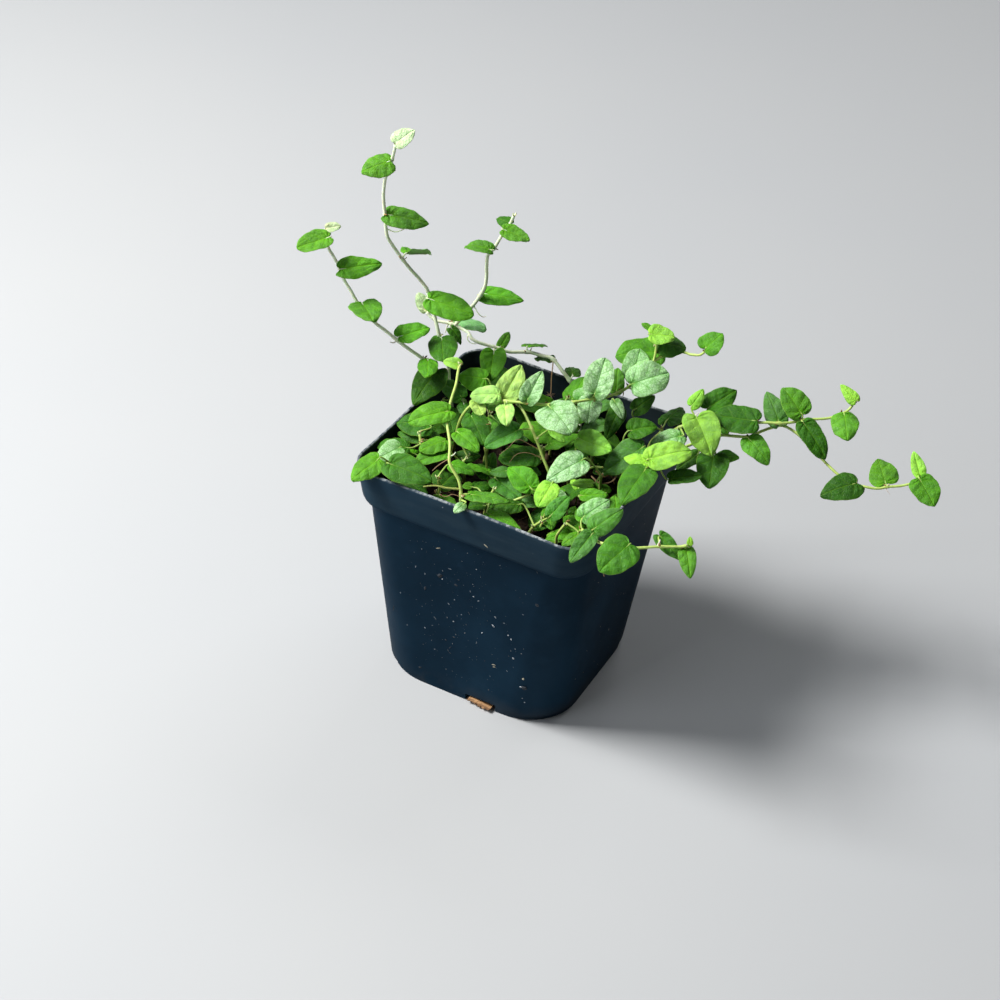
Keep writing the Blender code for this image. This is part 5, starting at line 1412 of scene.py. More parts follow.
def rounded_profile(profile):
    """The same profile with each inner point replaced by a small arc."""
    done = [profile[0]]
    for before, point, after in zip(profile, profile[1:], profile[2:]):
        reach = EDGE_ROUND if point[2] > 2 * STEP_HEIGHT else FOOT_ROUND
        to_before = [b - p for b, p in zip(before, point)]
        to_after = [a - p for a, p in zip(after, point)]
        gone_before = max(math.hypot(to_before[0] / 2, to_before[2]), 1e-6)
        gone_after = max(math.hypot(to_after[0] / 2, to_after[2]), 1e-6)
        one, two = min(0.45, reach / gone_before), min(0.45, reach / gone_after)
        start = [p + d * one for p, d in zip(point, to_before)]
        end = [p + d * two for p, d in zip(point, to_after)]
        for t in (0.0, 0.33, 0.67, 1.0):
            done.append(tuple(a * (1 - t) ** 2 + 2 * p * t * (1 - t) + b * t * t
                              for a, p, b in zip(start, point, end)))
    return done + [profile[-1]]


def fine_pot():
    """The pot's skin with rounded edges, tiny nicks along its lip and a slightly uneven wall."""
    rings = []
    for side, corner, height, bow in rounded_profile(pot_profile()):
        ring_points = []
        for point in fine_ring(side, corner, height, bow):
            spot = Vector((point.x * 0.035, point.y * 0.035, height * 0.02))
            out = Vector((point.x, point.y, 0)).normalized()
            shift = 0.22 * noise.noise(spot) * min(1.0, height / 20)
            rough = noise.noise(Vector((point.x * 0.9, point.y * 0.9, 3.0)))
            lip = max(0.0, 1 - abs(height - POT_HEIGHT) / 0.8)
            sink = lip * (0.10 * rough + 0.28 * max(0.0, rough - 0.45))
            ring_points.append(point + out * (shift * 0.6) - Vector((0, 0, max(0.0, sink))))
        rings.append(ring_points)
    return lofted(rings)


def plain_object(name, mesh):
    """A mesh, (vertices, faces) in mm, as an object with its faces turned outwards."""
    data = bpy.data.meshes.new(name)
    data.from_pydata([tuple(v * MM) for v in mesh[0]], [], [tuple(f) for f in mesh[1]])
    work = bmesh.new()
    work.from_mesh(data)
    bmesh.ops.recalc_face_normals(work, faces=work.faces)
    work.to_mesh(data)
    work.free()
    return linked(name, data)


def cut_away(obj, cutters):
    """Cuts the cutters out of obj and removes them."""
    for cutter in cutters:
        modifier = obj.modifiers.new("cut", "BOOLEAN")
        modifier.operation = "DIFFERENCE"
        modifier.object = cutter
        modifier.solver = "EXACT"
    graph = bpy.context.evaluated_depsgraph_get()
    done = bpy.data.meshes.new_from_object(obj.evaluated_get(graph))
    obj.modifiers.clear()
    obj.data = done
    for cutter in cutters:
        bpy.data.objects.remove(cutter, do_unlink=True)


def shade_smooth(obj, degrees):
    """Smooth shading that keeps edges sharper than an angle."""
    work = bmesh.new()
    work.from_mesh(obj.data)
    for face in work.faces:
        face.smooth = True
    for edge in work.edges:
        edge.smooth = len(edge.link_faces) == 2 and edge.calc_face_angle(0) < math.radians(degrees)
    work.to_mesh(obj.data)
    work.free()


def build_pot_shell():
    """The pot with its drain holes and slots cut out. Faces that look inwards take the inner plastic."""
    pot = plain_object("pot_shell", fine_pot())
    cutters = [plain_object("hole_cutter", floor_hole_mesh(quarter, 32)) for quarter in range(4)]
    cutters += [plain_object("slot_cutter", slot_mesh(quarter)) for quarter in SLOT_QUARTERS]
    cut_away(pot, cutters)
    shade_smooth(pot, 40)
    for name, low, high in POT_TONES:
        pot.data.materials.append(pot_plastic(name, low, high))
    for face in pot.data.polygons:
        if face.normal.x * face.center.x + face.normal.y * face.center.y < 0:
            face.material_index = 1
    return pot


# Marks on the front wall that the photo shows: place on the sheet, length, width, turn in degrees and kind
WALL_MARKS = [
    (-29.9, -36, 2.0, 0.42, 27, "tan"), (-13.6, -35.3, 1.9, 0.40, -30, "tan"),
    (-10.9, -76, 1.9, 0.40, 12, "tan"), (-10.9, -76.7, 1.3, 0.32, 16, "tan"),
    (-4.3, -73.8, 0.9, 0.65, -50, "white"), (-0.9, -80.9, 1.0, 0.8, 20, "tan"),
    (-1.8, -83.6, 0.8, 0.5, 0, "white"), (-0.6, -84, 2.2, 1.6, 10, "smudge"),
    (3.8, -55.5, 1.5, 1.3, 0, "smudge"), (-29.4, -45.3, 2.3, 1.7, 60, "smudge"),
    (-28.6, -46.6, 0.6, 0.4, 60, "white"), (-25.9, -70, 1.5, 0.4, 50, "smudge"),
    (-26.6, -71, 1.2, 0.4, -70, "smudge"), (-26, -71.9, 1.1, 0.4, -15, "smudge"),
    (-34.5, -49.7, 1.8, 0.9, 80, "smudge"), (-17.9, -52.6, 0.6, 0.45, 0, "white"),
    (-10.4, -59.7, 0.9, 0.4, -50, "white"), (-11.1, -62.7, 1.4, 0.5, -42, "white"),
    (-6, -65.9, 0.7, 0.55, 0, "white"), (-5, -67.3, 0.8, 0.35, -60, "white"),
    (-24.8, -61.1, 0.6, 0.45, 30, "white"), (-31.1, -59.9, 1.8, 0.35, -48, "pale"),
    (-26.4, -55.1, 1.0, 0.4, -40, "pale"), (-26, -43.1, 1.4, 0.35, 5, "pale"),
    (-34.5, -44.8, 0.9, 0.4, 85, "pale"), (-37.7, -42.3, 0.9, 0.35, 80, "pale"),
    (-35.6, -36.3, 0.7, 0.3, 90, "pale"), (-42.9, -51.3, 0.6, 0.35, -60, "pale"),
    (-45.3, -56.5, 2.2, 0.3, 92, "smudge"), (-34.5, -63.3, 0.8, 0.4, -40, "pale"),
    (-40.6, -62.3, 0.6, 0.3, 0, "pale"), (-16.9, -68.4, 1.3, 0.35, 80, "pale"),
    (-15, -65, 0.8, 0.55, 60, "white"), (-16.2, -54.1, 0.8, 0.5, 30, "pale"),
    (-7.4, -61.7, 0.9, 0.3, 5, "pale"), (-3.6, -70.6, 0.6, 0.4, 90, "pale"),
    (-0.9, -58.8, 0.6, 0.4, 0, "pale"), (-2, -53, 0.7, 0.3, 60, "smudge"),
    (-16.9, -43.3, 0.5, 0.35, 0, "white"), (-28.5, -22.1, 0.6, 0.3, 90, "pale"),
    (-31.2, -70.6, 0.7, 0.35, 10, "pale"), (-24.6, -66.5, 1.0, 0.6, 0, "smudge"),
    (-27.4, -67.4, 0.9, 0.7, 0, "smudge"), (-36.2, -76.8, 1.4, 0.9, 20, "smudge"),
    (-36.2, -76.8, 0.4, 0.3, 0, "pale"), (-6.4, -78.1, 0.6, 0.3, -20, "pale"),
    (-12.2, -79.9, 0.5, 0.3, 90, "pale"), (3.9, -44.3, 1.1, 0.4, -60, "smudge"),
    (-22, -58.8, 0.6, 0.3, 0, "pale"), (-19.5, -58.2, 1.2, 0.3, -55, "smudge"),
    (-24, -48.6, 1.5, 0.9, 0, "smudge"), (-24.4, -53.7, 0.6, 0.4, 40, "pale"),
    (-19, -50.8, 0.9, 0.35, -60, "pale"), (-23, -46.9, 0.8, 0.5, 0, "smudge"),
    (-1.2, -87.5, 0.5, 0.3, 0, "pale"), (-0.4, -88.9, 0.5, 0.3, 0, "pale"),
    (-5.8, -73, 0.5, 0.3, 0, "smudge"),
]
# The blue cast of the white, pale and smudge tones paints the blue light that falls on the front wall.
MARK_TONES = {"white": (0.62, 0.68, 0.74), "pale": (0.24, 0.29, 0.34), "tan": (0.54, 0.51, 0.39),
              "smudge": (0.050, 0.060, 0.074)}

# Small specks on the front wall, and as many on the three others
SPECKS = 150
DUST_SEED = 41

# How far a flake stands out of the wall, and how far it goes in
FLAKE_OUT, FLAKE_IN = 0.05, 0.14


def wall_point(x, z):
    """The point on the outside of the front wall at a place across it and a height."""
    band_low = POT_HEIGHT - RIM_BAND
    if z < band_low:
        low_side = BASE_SIDE + 0.3
        side = low_side + (BODY_TOP_SIDE - low_side) * (z - STEP_HEIGHT) / (band_low - STEP_HEIGHT)
    else:
        side = BAND_SIDE + 3.0 * (z - band_low - BAND_ROUND) / (RIM_BAND - 2.5)
    return Vector((x, -side / 2, z))


def flat_half(z):
    """Half the width of a wall between its rounded corners at a height."""
    return 22 + 10 * z / POT_HEIGHT


def front_wall_spot(across, up):
    """Where the sight line through a place on the sheet meets the front wall."""
    ray = sheet_point(across, up) - EYE
    spot = wall_point(0, POT_HEIGHT / 2)
    for _ in range(8):
        wall = wall_point(0, spot.z)
        spot = EYE + ray * ((wall.y - EYE.y) / ray.y)
    return spot


def add_speck(build, draw, spot, long, wide, turn, tone, quarter=0):
    """A small ragged flake that lies on a wall; quarter turns it round the pot to another side."""
    verts = []
    for off in (-FLAKE_OUT, FLAKE_IN):
        for k in range(8):
            angle = k * math.pi / 4
            x = math.cos(angle) * long / 2 * draw.uniform(0.7, 1.15)
            y = math.sin(angle) * wide / 2 * draw.uniform(0.7, 1.15)
            x, y = x * math.cos(turn) - y * math.sin(turn), x * math.sin(turn) + y * math.cos(turn)
            verts.append(spot + Vector((x, off, y)))
    for _ in range(quarter):
        verts = [Vector((-v.y, v.x, v.z)) for v in verts]
    faces = [(0, 1, 2, 3, 4, 5, 6, 7), (15, 14, 13, 12, 11, 10, 9, 8)]
    faces += [(k, k + 8, (k + 1) % 8 + 8, (k + 1) % 8) for k in range(8)]
    build.add([tuple(v) for v in verts], faces, CRUMBS, (*tone, 0.0))


def build_dust():
    """Specks of dust and a few crumbs of mix that cling to the pot's walls."""
    build = Build()
    draw = random.Random(DUST_SEED)
    for across, up, long, wide, turn, tone in WALL_MARKS:
        add_speck(build, draw, front_wall_spot(across, up), long, wide, math.radians(turn), MARK_TONES[tone])
    for _ in range(SPECKS):
        z = draw.uniform(8, 72)
        half = flat_half(z)
        spot = wall_point(draw.triangular(-half, half, -2), z)
        size = 0.12 + 0.26 * draw.random() ** 5
        shade = draw.uniform(0.06, 0.28)
        # The specks of the front wall are tinted blue, which paints the blue light on that wall.
        tone = (shade * 0.86, shade * 0.96, shade * 1.05)
        add_speck(build, draw, spot, size * draw.uniform(1, 2.4), size, draw.uniform(0, math.pi), tone)
    for _ in range(SPECKS):
        z = draw.uniform(5, 72)
        half = flat_half(z)
        size = 0.16 + 0.45 * draw.random() ** 4
        shade = draw.uniform(0.08, 0.45)
        tone = (shade, shade * 0.95, shade * 0.86)
        add_speck(build, draw, wall_point(draw.uniform(-half, half), z), size * draw.uniform(1, 3), size,
                  draw.uniform(0, math.pi), tone, draw.choice((1, 2, 3)))
    return build.piece("pot_dust", [crumb_material()])


# The pieces of the potting mix

MIX_RINGS = 46
BITS = 620
FIBRES = 150
BITS_SEED = 77
CHIP_SEED = 9

# Half the side and the corner radius of the rounded square that the bits lie in
BITS_HALF, BITS_CORNER = 38.5, 8.5

# Tones of the bits, up to a share of their number; they are kept dark, and dimmed further in add_bit, partly
# to paint the shade between the leaves
BIT_TONES = [(0.55, (0.050, 0.028, 0.014)), (0.85, (0.11, 0.062, 0.030)), (1.0, (0.24, 0.15, 0.08))]
FIBRE_TONES = ((0.05, 0.028, 0.013), (0.12, 0.07, 0.03), (0.03, 0.018, 0.009))


def mix_point(x, y):
    """The height of the mix with its crumbs: never above the plain mix by more than a little."""
    spot = Vector((x * 0.45, y * 0.45, 1.7))
    fine = Vector((x * 1.3, y * 1.3, 5.1))
    return mix_height(x, y) + 0.75 * noise.noise(spot) + 0.45 * noise.noise(fine) - 0.25


def build_mix_body():
    """The body of the mix, with a top that is fine enough for its crumbs."""
    rings, top = mix_rings(fine_ring, 1.6)
    rings.append(drawn_in(top, 0.995, mix_point))
    rings += [drawn_in(top, math.sqrt(1 - k / MIX_RINGS), mix_point) for k in range(1, MIX_RINGS)]
    obj = plain_object("mix_body", lofted(rings))
    shade_smooth(obj, 80)
    obj.data.materials.append(earth_material())
    return obj


def add_bit(build, draw, x, y):
    """A crumb or a bit of bark that lies on the mix."""
    long = 0.5 + 2.4 * draw.random() ** 2.2
    size = Vector((long, long * draw.uniform(0.25, 0.7), long * draw.uniform(0.12, 0.4)))
    turn = Euler((draw.uniform(-0.5, 0.5), draw.uniform(-0.5, 0.5), draw.uniform(0, 6.28))).to_matrix()
    middle = Vector((x, y, mix_point(x, y) + size.z * 0.4))
    verts = []
    for k in range(20):
        layer, step = divmod(k, 5)
        angle = 2 * math.pi * step / 5 + layer * 0.5
        wide = (0.62, 1.0, 0.95, 0.55)[layer] * draw.uniform(0.75, 1.15)
        spot = Vector((math.cos(angle) * size.x * wide, math.sin(angle) * size.y * wide,
                       (layer / 1.5 - 1) * size.z * draw.uniform(0.8, 1.2)))
        verts.append(middle + turn @ spot)
    faces = [(4, 3, 2, 1, 0), (15, 16, 17, 18, 19)] + bands(3, 5)
    kind = draw.random()
    tone = next(tone for share, tone in BIT_TONES if kind < share)
    # A dimming drawn for each bit, partly its own tone and partly painted shade.
    light = draw.uniform(0.15, 0.55)
    build.add([tuple(v) for v in verts], faces, CRUMBS, (*[c * light for c in tone], 0.0))


def add_fibre(build, draw):
    """A thin fibre that wanders over the mix and stays within the pot."""
    x, y = draw.uniform(-36, 36), draw.uniform(-36, 36)
    turn = draw.uniform(0, 6.28)
    start = Vector((x, y, mix_point(x, y) + 0.2))
    heading = Vector((math.cos(turn), math.sin(turn), 0.12))
    kept = []
    for point in wander(start, heading, draw.uniform(3, 11), draw, 0.0, 0.30):
        if max(abs(point.x), abs(point.y)) > 39:
            break
        low = mix_point(point.x, point.y) + 0.05
        kept.append(Vector((point.x, point.y, min(max(point.z, low), low + 2.0))))
    if len(kept) > 3:
        tone = draw.choice(FIBRE_TONES)
        add_tube(build, kept, [draw.uniform(0.06, 0.13)] * len(kept), 5, CRUMBS, tone)


def build_mix_bits():
    """Bark, crumbs and fibres on the mix."""
    build = Build()
    draw = random.Random(BITS_SEED)
    straight = BITS_HALF - BITS_CORNER
    for _ in range(BITS):
        x, y = draw.uniform(-BITS_HALF, BITS_HALF), draw.uniform(-BITS_HALF, BITS_HALF)
        if math.hypot(max(0, abs(x) - straight), max(0, abs(y) - straight)) <= BITS_CORNER:
            add_bit(build, draw, x, y)
    for _ in range(FIBRES):
        add_fibre(build, draw)
    return build.piece("mix_bits", [crumb_material()])


def build_chip():
    """The splintered chip of bark that stands out of the front drain slot."""
    draw = random.Random(CHIP_SEED)
    long, deep, tall = CHIP_SIZE
    turn = Matrix.Rotation(CHIP_TURN, 3, "Z")
    rings = []
    for k in range(25):
        share = k / 24
        taper = 0.35 + 0.65 * math.sin(math.pi * min(1.0, 0.12 + share * 0.95)) ** 0.5
        ragged = draw.uniform(-0.25, 0.25)
        ring_points = []
        for step in range(16):
            angle = 2 * math.pi * step / 16
            rough = 1 + 0.14 * draw.uniform(-1, 1)
            y = math.cos(angle) * deep * 0.42 * rough + (ragged if math.cos(angle) < 0 else 0)
            z = math.sin(angle) * tall * 0.36 * taper * rough + 0.25 * math.sin(share * 7)
            ring_points.append(turn @ Vector(((share - 0.5) * long, y, z)) + Vector(CHIP_PLACE))
        rings.append(ring_points)
    obj = plain_object("bark_chip", lofted(rings))
    shade_smooth(obj, 50)
    obj.data.materials.append(bark_material())
    return obj


# Materials

class Shader:
    """Makes and links the nodes of one material."""

    def __init__(self, name):
        self.material = bpy.data.materials.new(name)
        self.material.use_nodes = True
        self.tree = self.material.node_tree
        self.main = self.tree.nodes["Principled BSDF"]

    def put(self, socket, value):
        if isinstance(value, bpy.types.NodeSocket):
            self.tree.links.new(value, socket)
        elif value is not None:
            socket.default_value = value

    def set(self, name, value):
        self.main.inputs[name].default_value = value

    def node(self, kind, inputs=(), out=0, **settings):
        made = self.tree.nodes.new("ShaderNode" + kind)
        for key, value in settings.items():
            setattr(made, key, value)
        for key, value in dict(inputs).items():
            self.put(made.inputs[key], value)
        return made.outputs[out]

    def math(self, operation, a, b=None):
        return self.node("Math", {0: a} if b is None else {0: a, 1: b}, operation=operation)

    def times(self, a, b):
        return self.math("MULTIPLY", a, b)

    def plus(self, a, b):
        return self.math("ADD", a, b)

    def minus(self, a, b):
        return self.math("SUBTRACT", a, b)

    def larger(self, a, b):
        return self.math("MAXIMUM", a, b)

    def ramp(self, value, low, high, to_low=0.0, to_high=1.0):
        return self.node("MapRange", {"Value": value, "From Min": low, "From Max": high,
                                      "To Min": to_low, "To Max": to_high}, interpolation_type="SMOOTHSTEP")

    def mix(self, share, a, b, blend="MIX"):
        made = self.tree.nodes.new("ShaderNodeMix")
        made.data_type = "RGBA"
        made.blend_type = blend
        self.put(made.inputs[0], share)
        self.put(made.inputs[6], a if isinstance(a, bpy.types.NodeSocket) else (*a, 1.0))
        self.put(made.inputs[7], b if isinstance(b, bpy.types.NodeSocket) else (*b, 1.0))
        return made.outputs[2]

    def noise(self, vector, scale, detail=3.0, rough=0.55):
        return self.node("TexNoise", {"Vector": vector, "Scale": scale, "Detail": detail,
                                      "Roughness": rough})

    def cells(self, vector, scale, feature="F1"):
        return self.node("TexVoronoi", {"Vector": vector, "Scale": scale}, feature=feature)

    def attribute(self, name, out="Vector"):
        made = self.tree.nodes.new("ShaderNodeAttribute")
        made.attribute_name = name
        return made.outputs[out]

    def object_place(self):
        """The place on the piece, in metres from the middle of the pot's base."""
        return self.node("TexCoord", out=3)

    def parts(self, vector):
        made = self.tree.nodes.new("ShaderNodeSeparateXYZ")
        self.put(made.inputs[0], vector)
        return made.outputs

    def bump(self, height, strength, distance):
        made = self.node("Bump", {"Height": height, "Strength": strength, "Distance": distance})
        self.put(self.main.inputs["Normal"], made)

    def finish(self, colour, roughness):
        self.put(self.main.inputs["Base Color"], colour)
        self.put(self.main.inputs["Roughness"], roughness)
        return self.material


def leaf_material():
    """Puckered leaf skin: veins, a fine net between them, mottling, a silvery bloom that is partly painted
    sheen, and a pale underside.
    """
    s = Shader("fig_leaf")
    place = s.attribute("leaf_place")
    along, across, _ = s.parts(place)
    vein, share, under = s.parts(s.attribute("leaf_veins"))
    tone = s.attribute("leaf_tone", "Color")
    silver_sheen = s.attribute("leaf_tone", "Alpha")
    flat = s.node("CombineXYZ", {0: along, 1: across})
    from_notch = s.node("VectorMath", {0: flat}, out=1, operation="LENGTH")
    wobble = s.times(s.minus(s.noise(place, 0.55, 2.0), 0.5), 0.45)
    part = s.math("FRACT", s.plus(vein, wobble))
    off = s.math("MINIMUM", part, s.minus(1.0, part))
    side_vein = s.times(s.ramp(off, 0.010, 0.070, 1.0, 0.0), s.ramp(share, 0.70, 0.98, 1.0, 0.1))
    midrib = s.times(s.ramp(s.math("ABSOLUTE", across), 0.05, 0.24, 1.0, 0.0),
                     s.ramp(share, 0.9, 1.0, 1.0, 0.0))
    bent = s.node("VectorMath", {0: place, 1: s.node("TexNoise", {"Vector": place, "Scale": 0.9}, out=1)},
                  operation="ADD")
    net = s.cells(bent, 0.95, "DISTANCE_TO_EDGE")
    fine_net = s.cells(bent, 2.3, "DISTANCE_TO_EDGE")
    net_line = s.ramp(net, 0.0, 0.11, 1.0, 0.0)
    fine_line = s.ramp(fine_net, 0.0, 0.11, 1.0, 0.0)
    groove = s.larger(midrib, s.larger(s.times(side_vein, 0.60), s.times(net_line, 0.45)))
    groove = s.larger(groove, s.times(fine_line, 0.28))
    patches = s.noise(place, 0.26, 4.0)
    grain = s.noise(place, 3.5, 3.0)
    dark = s.mix(1.0, tone, (0.62, 0.70, 0.58), "MULTIPLY")
    bright = s.mix(1.0, tone, (1.22, 1.14, 1.15), "MULTIPLY")
    base = s.mix(s.ramp(patches, 0.32, 0.68), dark, bright)
    base = s.mix(s.times(grain, 0.25), base, dark)
    # The silvery bloom is partly the leaf's own silver and partly painted sheen: pale colour standing in for
    # reflected soft light, kept out of the veins and left green near the notch.
    window = s.ramp(s.plus(from_notch, s.times(patches, 2.0)), 1.6, 4.2, 0.25, 1.0)
    sheen_bloom = s.times(s.ramp(s.noise(place, 0.34, 5.0, 0.65), 0.30, 0.56, 0.50, 1.0), window)
    lines = s.larger(groove, s.larger(s.times(net_line, 0.85), side_vein))
    sheen_bloom = s.times(sheen_bloom, s.minus(1.0, s.times(lines, 0.55)))
    silvery = s.mix(s.times(silver_sheen, sheen_bloom), base, (0.54, 0.83, 0.47))
    vein_pale = s.mix(0.26, bright, (0.36, 0.60, 0.05))
    vein_colour = s.mix(s.ramp(silver_sheen, 0.3, 0.7), vein_pale, dark)
    upper = s.mix(s.times(groove, 0.52), silvery, vein_colour)
    upper = s.mix(s.times(s.ramp(share, 0.94, 1.0), 0.30), upper, (0.30, 0.48, 0.05))
    specks = s.ramp(s.noise(place, 1.5, 2.0), 0.72, 0.80)
    upper = s.mix(s.times(specks, 0.30), upper, (0.14, 0.13, 0.03))
    pale = s.mix(0.55, tone, (0.26, 0.44, 0.17))
    lower = s.mix(s.times(groove, 0.5), pale, (0.42, 0.54, 0.24))
    domes = s.plus(s.times(grain, 0.15), s.times(s.ramp(net, 0.0, 0.45), 0.5))
    s.bump(s.minus(domes, groove), 0.60, 0.00022)
    s.set("Subsurface Weight", 0.10)
    s.set("Subsurface Scale", 0.0006)
    s.set("Subsurface Radius", (0.5, 1.0, 0.2))
    s.set("Specular IOR Level", 0.13)
    rough = s.plus(s.times(s.noise(place, 0.9, 3.0), 0.20), 0.27)
    return s.finish(s.mix(under, upper, lower), s.plus(rough, s.times(under, 0.2)))


def stem_material():
    """Stems and stalks: streaks along them and small brown flecks."""
    s = Shader("fig_stem")
    place = s.attribute("leaf_place")
    tone = s.attribute("leaf_tone", "Color")
    streak = s.noise(place, 0.8, 4.0)
    fleck = s.noise(place, 2.4, 3.0)
    colour = s.mix(s.ramp(streak, 0.35, 0.7), s.mix(1.0, tone, (0.86, 0.86, 0.78), "MULTIPLY"), tone)
    colour = s.mix(s.ramp(fleck, 0.64, 0.76, 0.0, 0.16), colour, (0.26, 0.18, 0.06))
    s.bump(fleck, 0.35, 0.0001)
    s.set("Subsurface Weight", 0.10)
    s.set("Subsurface Scale", 0.0006)
    return s.finish(colour, s.plus(s.times(streak, 0.2), 0.40))


def pot_plastic(name, low, high):
    """Satin black plastic with a navy cast that is painted reflection: mould haze, smudges, dust, a worn pale
    lip and soil stains at the foot.
    """
    s = Shader(name)
    place = s.object_place()
    _, _, z = s.parts(place)
    haze = s.noise(place, 22.0, 4.0)
    smudge = s.noise(place, 75.0, 5.0, 0.6)
    grain = s.noise(place, 2600.0, 2.0)
    # The blue in these plastic, smudge and band colours paints the reflection of a blue surround.
    colour = s.mix(s.ramp(haze, 0.35, 0.7), low, high)
    colour = s.mix(s.ramp(smudge, 0.56, 0.80, 0.0, 0.30), colour, (0.020, 0.050, 0.085))
    dots = s.cells(place, 330.0)
    gate = s.ramp(s.noise(place, 60.0, 3.0), 0.54, 0.66)
    dust = s.times(s.ramp(dots, 0.04, 0.09, 1.0, 0.0), gate)
    colour = s.mix(s.times(dust, 0.40), colour, (0.16, 0.18, 0.20))
    band = s.ramp(z, 0.0752, 0.0768)
    scuff = s.node("Mapping", {"Vector": place, "Scale": (45.0, 45.0, 260.0)})
    scuffs = s.ramp(s.noise(scuff, 1.0, 4.0), 0.36, 0.74, 0.55, 1.0)
    colour = s.mix(s.times(band, s.times(scuffs, 0.50)), colour, (0.036, 0.060, 0.078))
    lip = s.ramp(z, 0.0893, 0.0899)
    worn = s.times(s.ramp(s.noise(place, 520.0, 4.0, 0.7), 0.42, 0.60),
                   s.ramp(s.noise(place, 48.0, 2.0), 0.36, 0.58, 0.55, 1.0))
    edge = s.times(lip, s.plus(s.times(worn, 0.80), 0.12))
    colour = s.mix(edge, colour, (0.37, 0.40, 0.42))
    foot = s.times(s.ramp(z, 0.0, 0.010, 1.0, 0.0), s.ramp(smudge, 0.42, 0.62))
    colour = s.mix(s.times(foot, 0.25), colour, (0.07, 0.06, 0.05))
    s.bump(s.plus(s.times(grain, 0.35), s.times(smudge, 0.4)), 0.18, 0.0001)
    s.set("Specular IOR Level", 0.012)
    rough = s.plus(s.times(smudge, 0.18), 0.38)
    return s.finish(colour, s.plus(rough, s.times(edge, 0.2)))


def earth_material():
    """The body of the mix: dark lumps with slightly lighter crumbs, near black, partly to paint the shade in
    the gaps between the leaves.
    """
    s = Shader("dark_mix")
    place = s.object_place()
    lumps = s.noise(place, 260.0, 6.0, 0.65)
    crumbs = s.cells(place, 620.0)
    colour = s.mix(s.ramp(lumps, 0.35, 0.68), (0.004, 0.0025, 0.0016), (0.022, 0.013, 0.008))
    colour = s.mix(s.ramp(crumbs, 0.15, 0.45, 0.5, 0.0), colour, (0.026, 0.016, 0.009))
    s.set("Specular IOR Level", 0.12)
    s.bump(s.minus(lumps, s.times(crumbs, 0.6)), 0.9, 0.0006)
    return s.finish(colour, s.ramp(lumps, 0.3, 0.7, 0.95, 0.62))


def crumb_material():
    """Loose bits and dust, each in its own tone."""
    s = Shader("crumbs")
    place = s.object_place()
    tone = s.attribute("leaf_tone", "Color")
    grain = s.noise(place, 900.0, 4.0)
    colour = s.mix(s.ramp(grain, 0.35, 0.7), s.mix(1.0, tone, (0.5, 0.5, 0.5), "MULTIPLY"), tone)
    s.bump(grain, 0.6, 0.0002)
    s.set("Specular IOR Level", 0.15)
    return s.finish(colour, s.ramp(grain, 0.3, 0.7, 0.92, 0.7))


def bark_material():
    """The chip: fibres along its length."""
    s = Shader("bark")
    place = s.object_place()
    stretched = s.node("Mapping", {"Vector": place, "Scale": (120.0, 900.0, 900.0)})
    fibre = s.noise(stretched, 1.0, 5.0)
    colour = s.mix(s.ramp(fibre, 0.3, 0.7), (0.10, 0.045, 0.018), (0.46, 0.26, 0.12))
    s.bump(fibre, 0.8, 0.0003)
    return s.finish(colour, 0.85)


def floor_material():
    """A pale matt floor with faint clouds."""
    s = Shader("pale_floor")
    place = s.object_place()
    cloud = s.noise(place, 3.0, 3.0)
    colour = s.mix(cloud, (0.43, 0.45, 0.48), (0.48, 0.49, 0.50))
    return s.finish(colour, 0.75)


# The stage, in metres

LENS, SENSOR = 85.0, 36.0
FLOOR_REACH = 4
SKY = (0.94, 0.97, 1.0)
SKY_STRENGTH = 0.09

# Lights: name, place, the height it looks at, size, power in watts and colour
LIGHTS = [
    ("key", (-0.70, -0.30, 0.95), 0.10, (0.42, 0.42), 24.5, (1.0, 0.985, 0.95)),
    ("front_fill", (-0.55, -1.0, 0.75), 0.08, (0.7, 0.6), 3.4, (0.92, 0.96, 1.0)),
    ("back_fill", (0.10, 0.9, 0.95), 0.10, (0.7, 0.5), 3.4, (1.0, 1.0, 1.0)),
]


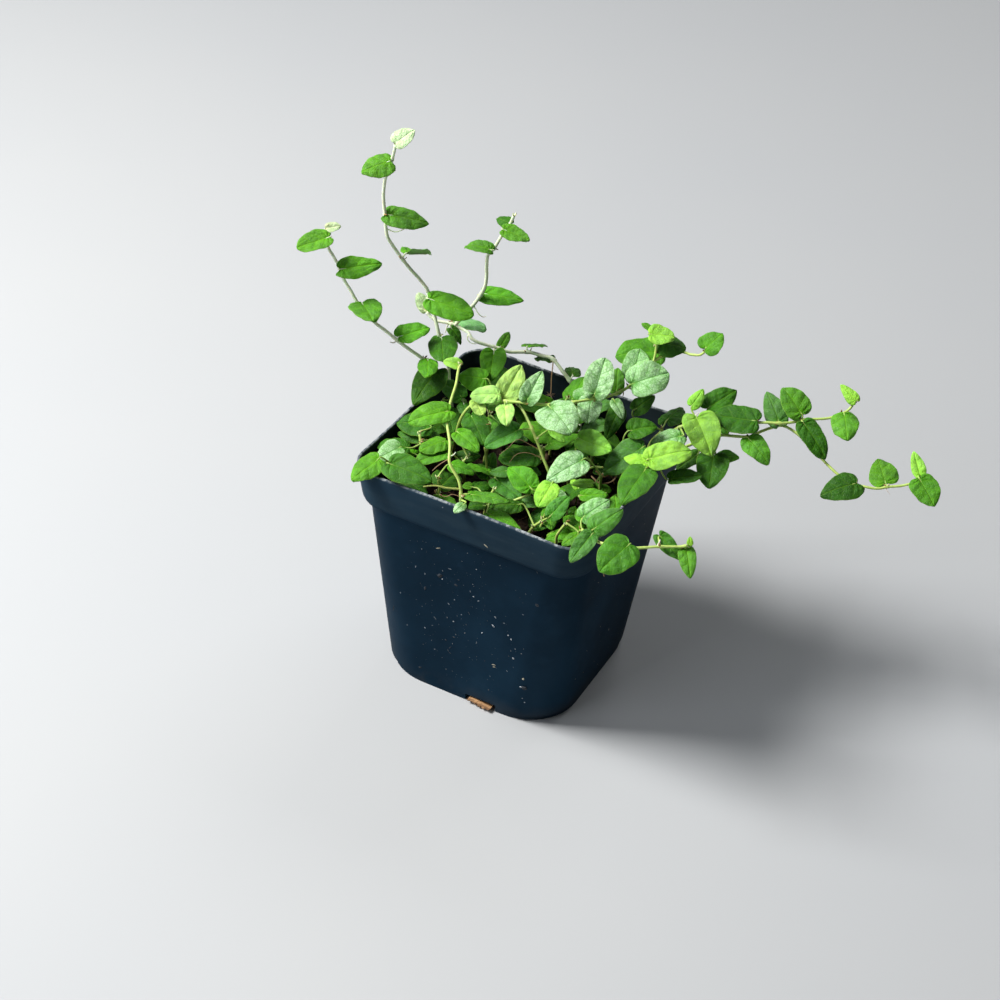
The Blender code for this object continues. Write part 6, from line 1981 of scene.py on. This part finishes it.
def place_camera():
    """The photo's view: from the eye that the drawing sheet is seen from."""
    data = bpy.data.cameras.new("camera")
    data.lens, data.sensor_width = LENS, SENSOR
    data.clip_start, data.clip_end = 0.05, 20.0
    camera = linked("camera", data)
    turn = Matrix((ACROSS, UP, BACK)).transposed()
    camera.matrix_world = Matrix.Translation(EYE * MM) @ turn.to_4x4()
    bpy.context.scene.camera = camera


def area_light(name, place, aim, size, power, colour):
    """A soft rectangular light that looks at a height above the middle of the pot's base."""
    data = bpy.data.lights.new(name, "AREA")
    data.shape, data.size, data.size_y = "RECTANGLE", size[0], size[1]
    data.energy, data.color = power, colour
    lamp = linked(name, data)
    lamp.location = place
    lamp.rotation_euler = (Vector((0, 0, aim)) - Vector(place)).to_track_quat("-Z", "Y").to_euler()


def set_stage():
    """A pale floor, a weak even sky, one soft key from the left and two fills."""
    data = bpy.data.meshes.new("floor")
    corners = [(x * FLOOR_REACH, y * FLOOR_REACH, 0) for x, y in ((-1, -1), (1, -1), (1, 1), (-1, 1))]
    data.from_pydata(corners, [], [(0, 1, 2, 3)])
    floor = linked("floor", data)
    data.materials.append(floor_material())
    world = bpy.data.worlds.new("studio")
    world.use_nodes = True
    sky = world.node_tree.nodes["Background"]
    sky.inputs["Color"].default_value = (*SKY, 1.0)
    sky.inputs["Strength"].default_value = SKY_STRENGTH
    bpy.context.scene.world = world
    bpy.context.scene.view_settings.view_transform = "Standard"
    for light in LIGHTS:
        area_light(*light)
    place_camera()


def hand_over(piece, node):
    """Names what a piece rides on and the solid that it stands for."""
    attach(piece, "root")
    if node:
        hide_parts(node)


def dress():
    """Makes every piece of the dressed part."""
    plant = lay_out_plant()
    materials = [leaf_material(), stem_material()]
    for node in plant.stems:
        hand_over(build_foliage(node, plant, materials), node)
    hand_over(build_pot_shell(), "pot")
    hand_over(build_dust(), None)
    hand_over(build_mix_body(), "potting_mix")
    hand_over(build_mix_bits(), "potting_mix")
    hand_over(build_chip(), "potting_mix")


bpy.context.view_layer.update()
dress()
set_stage()
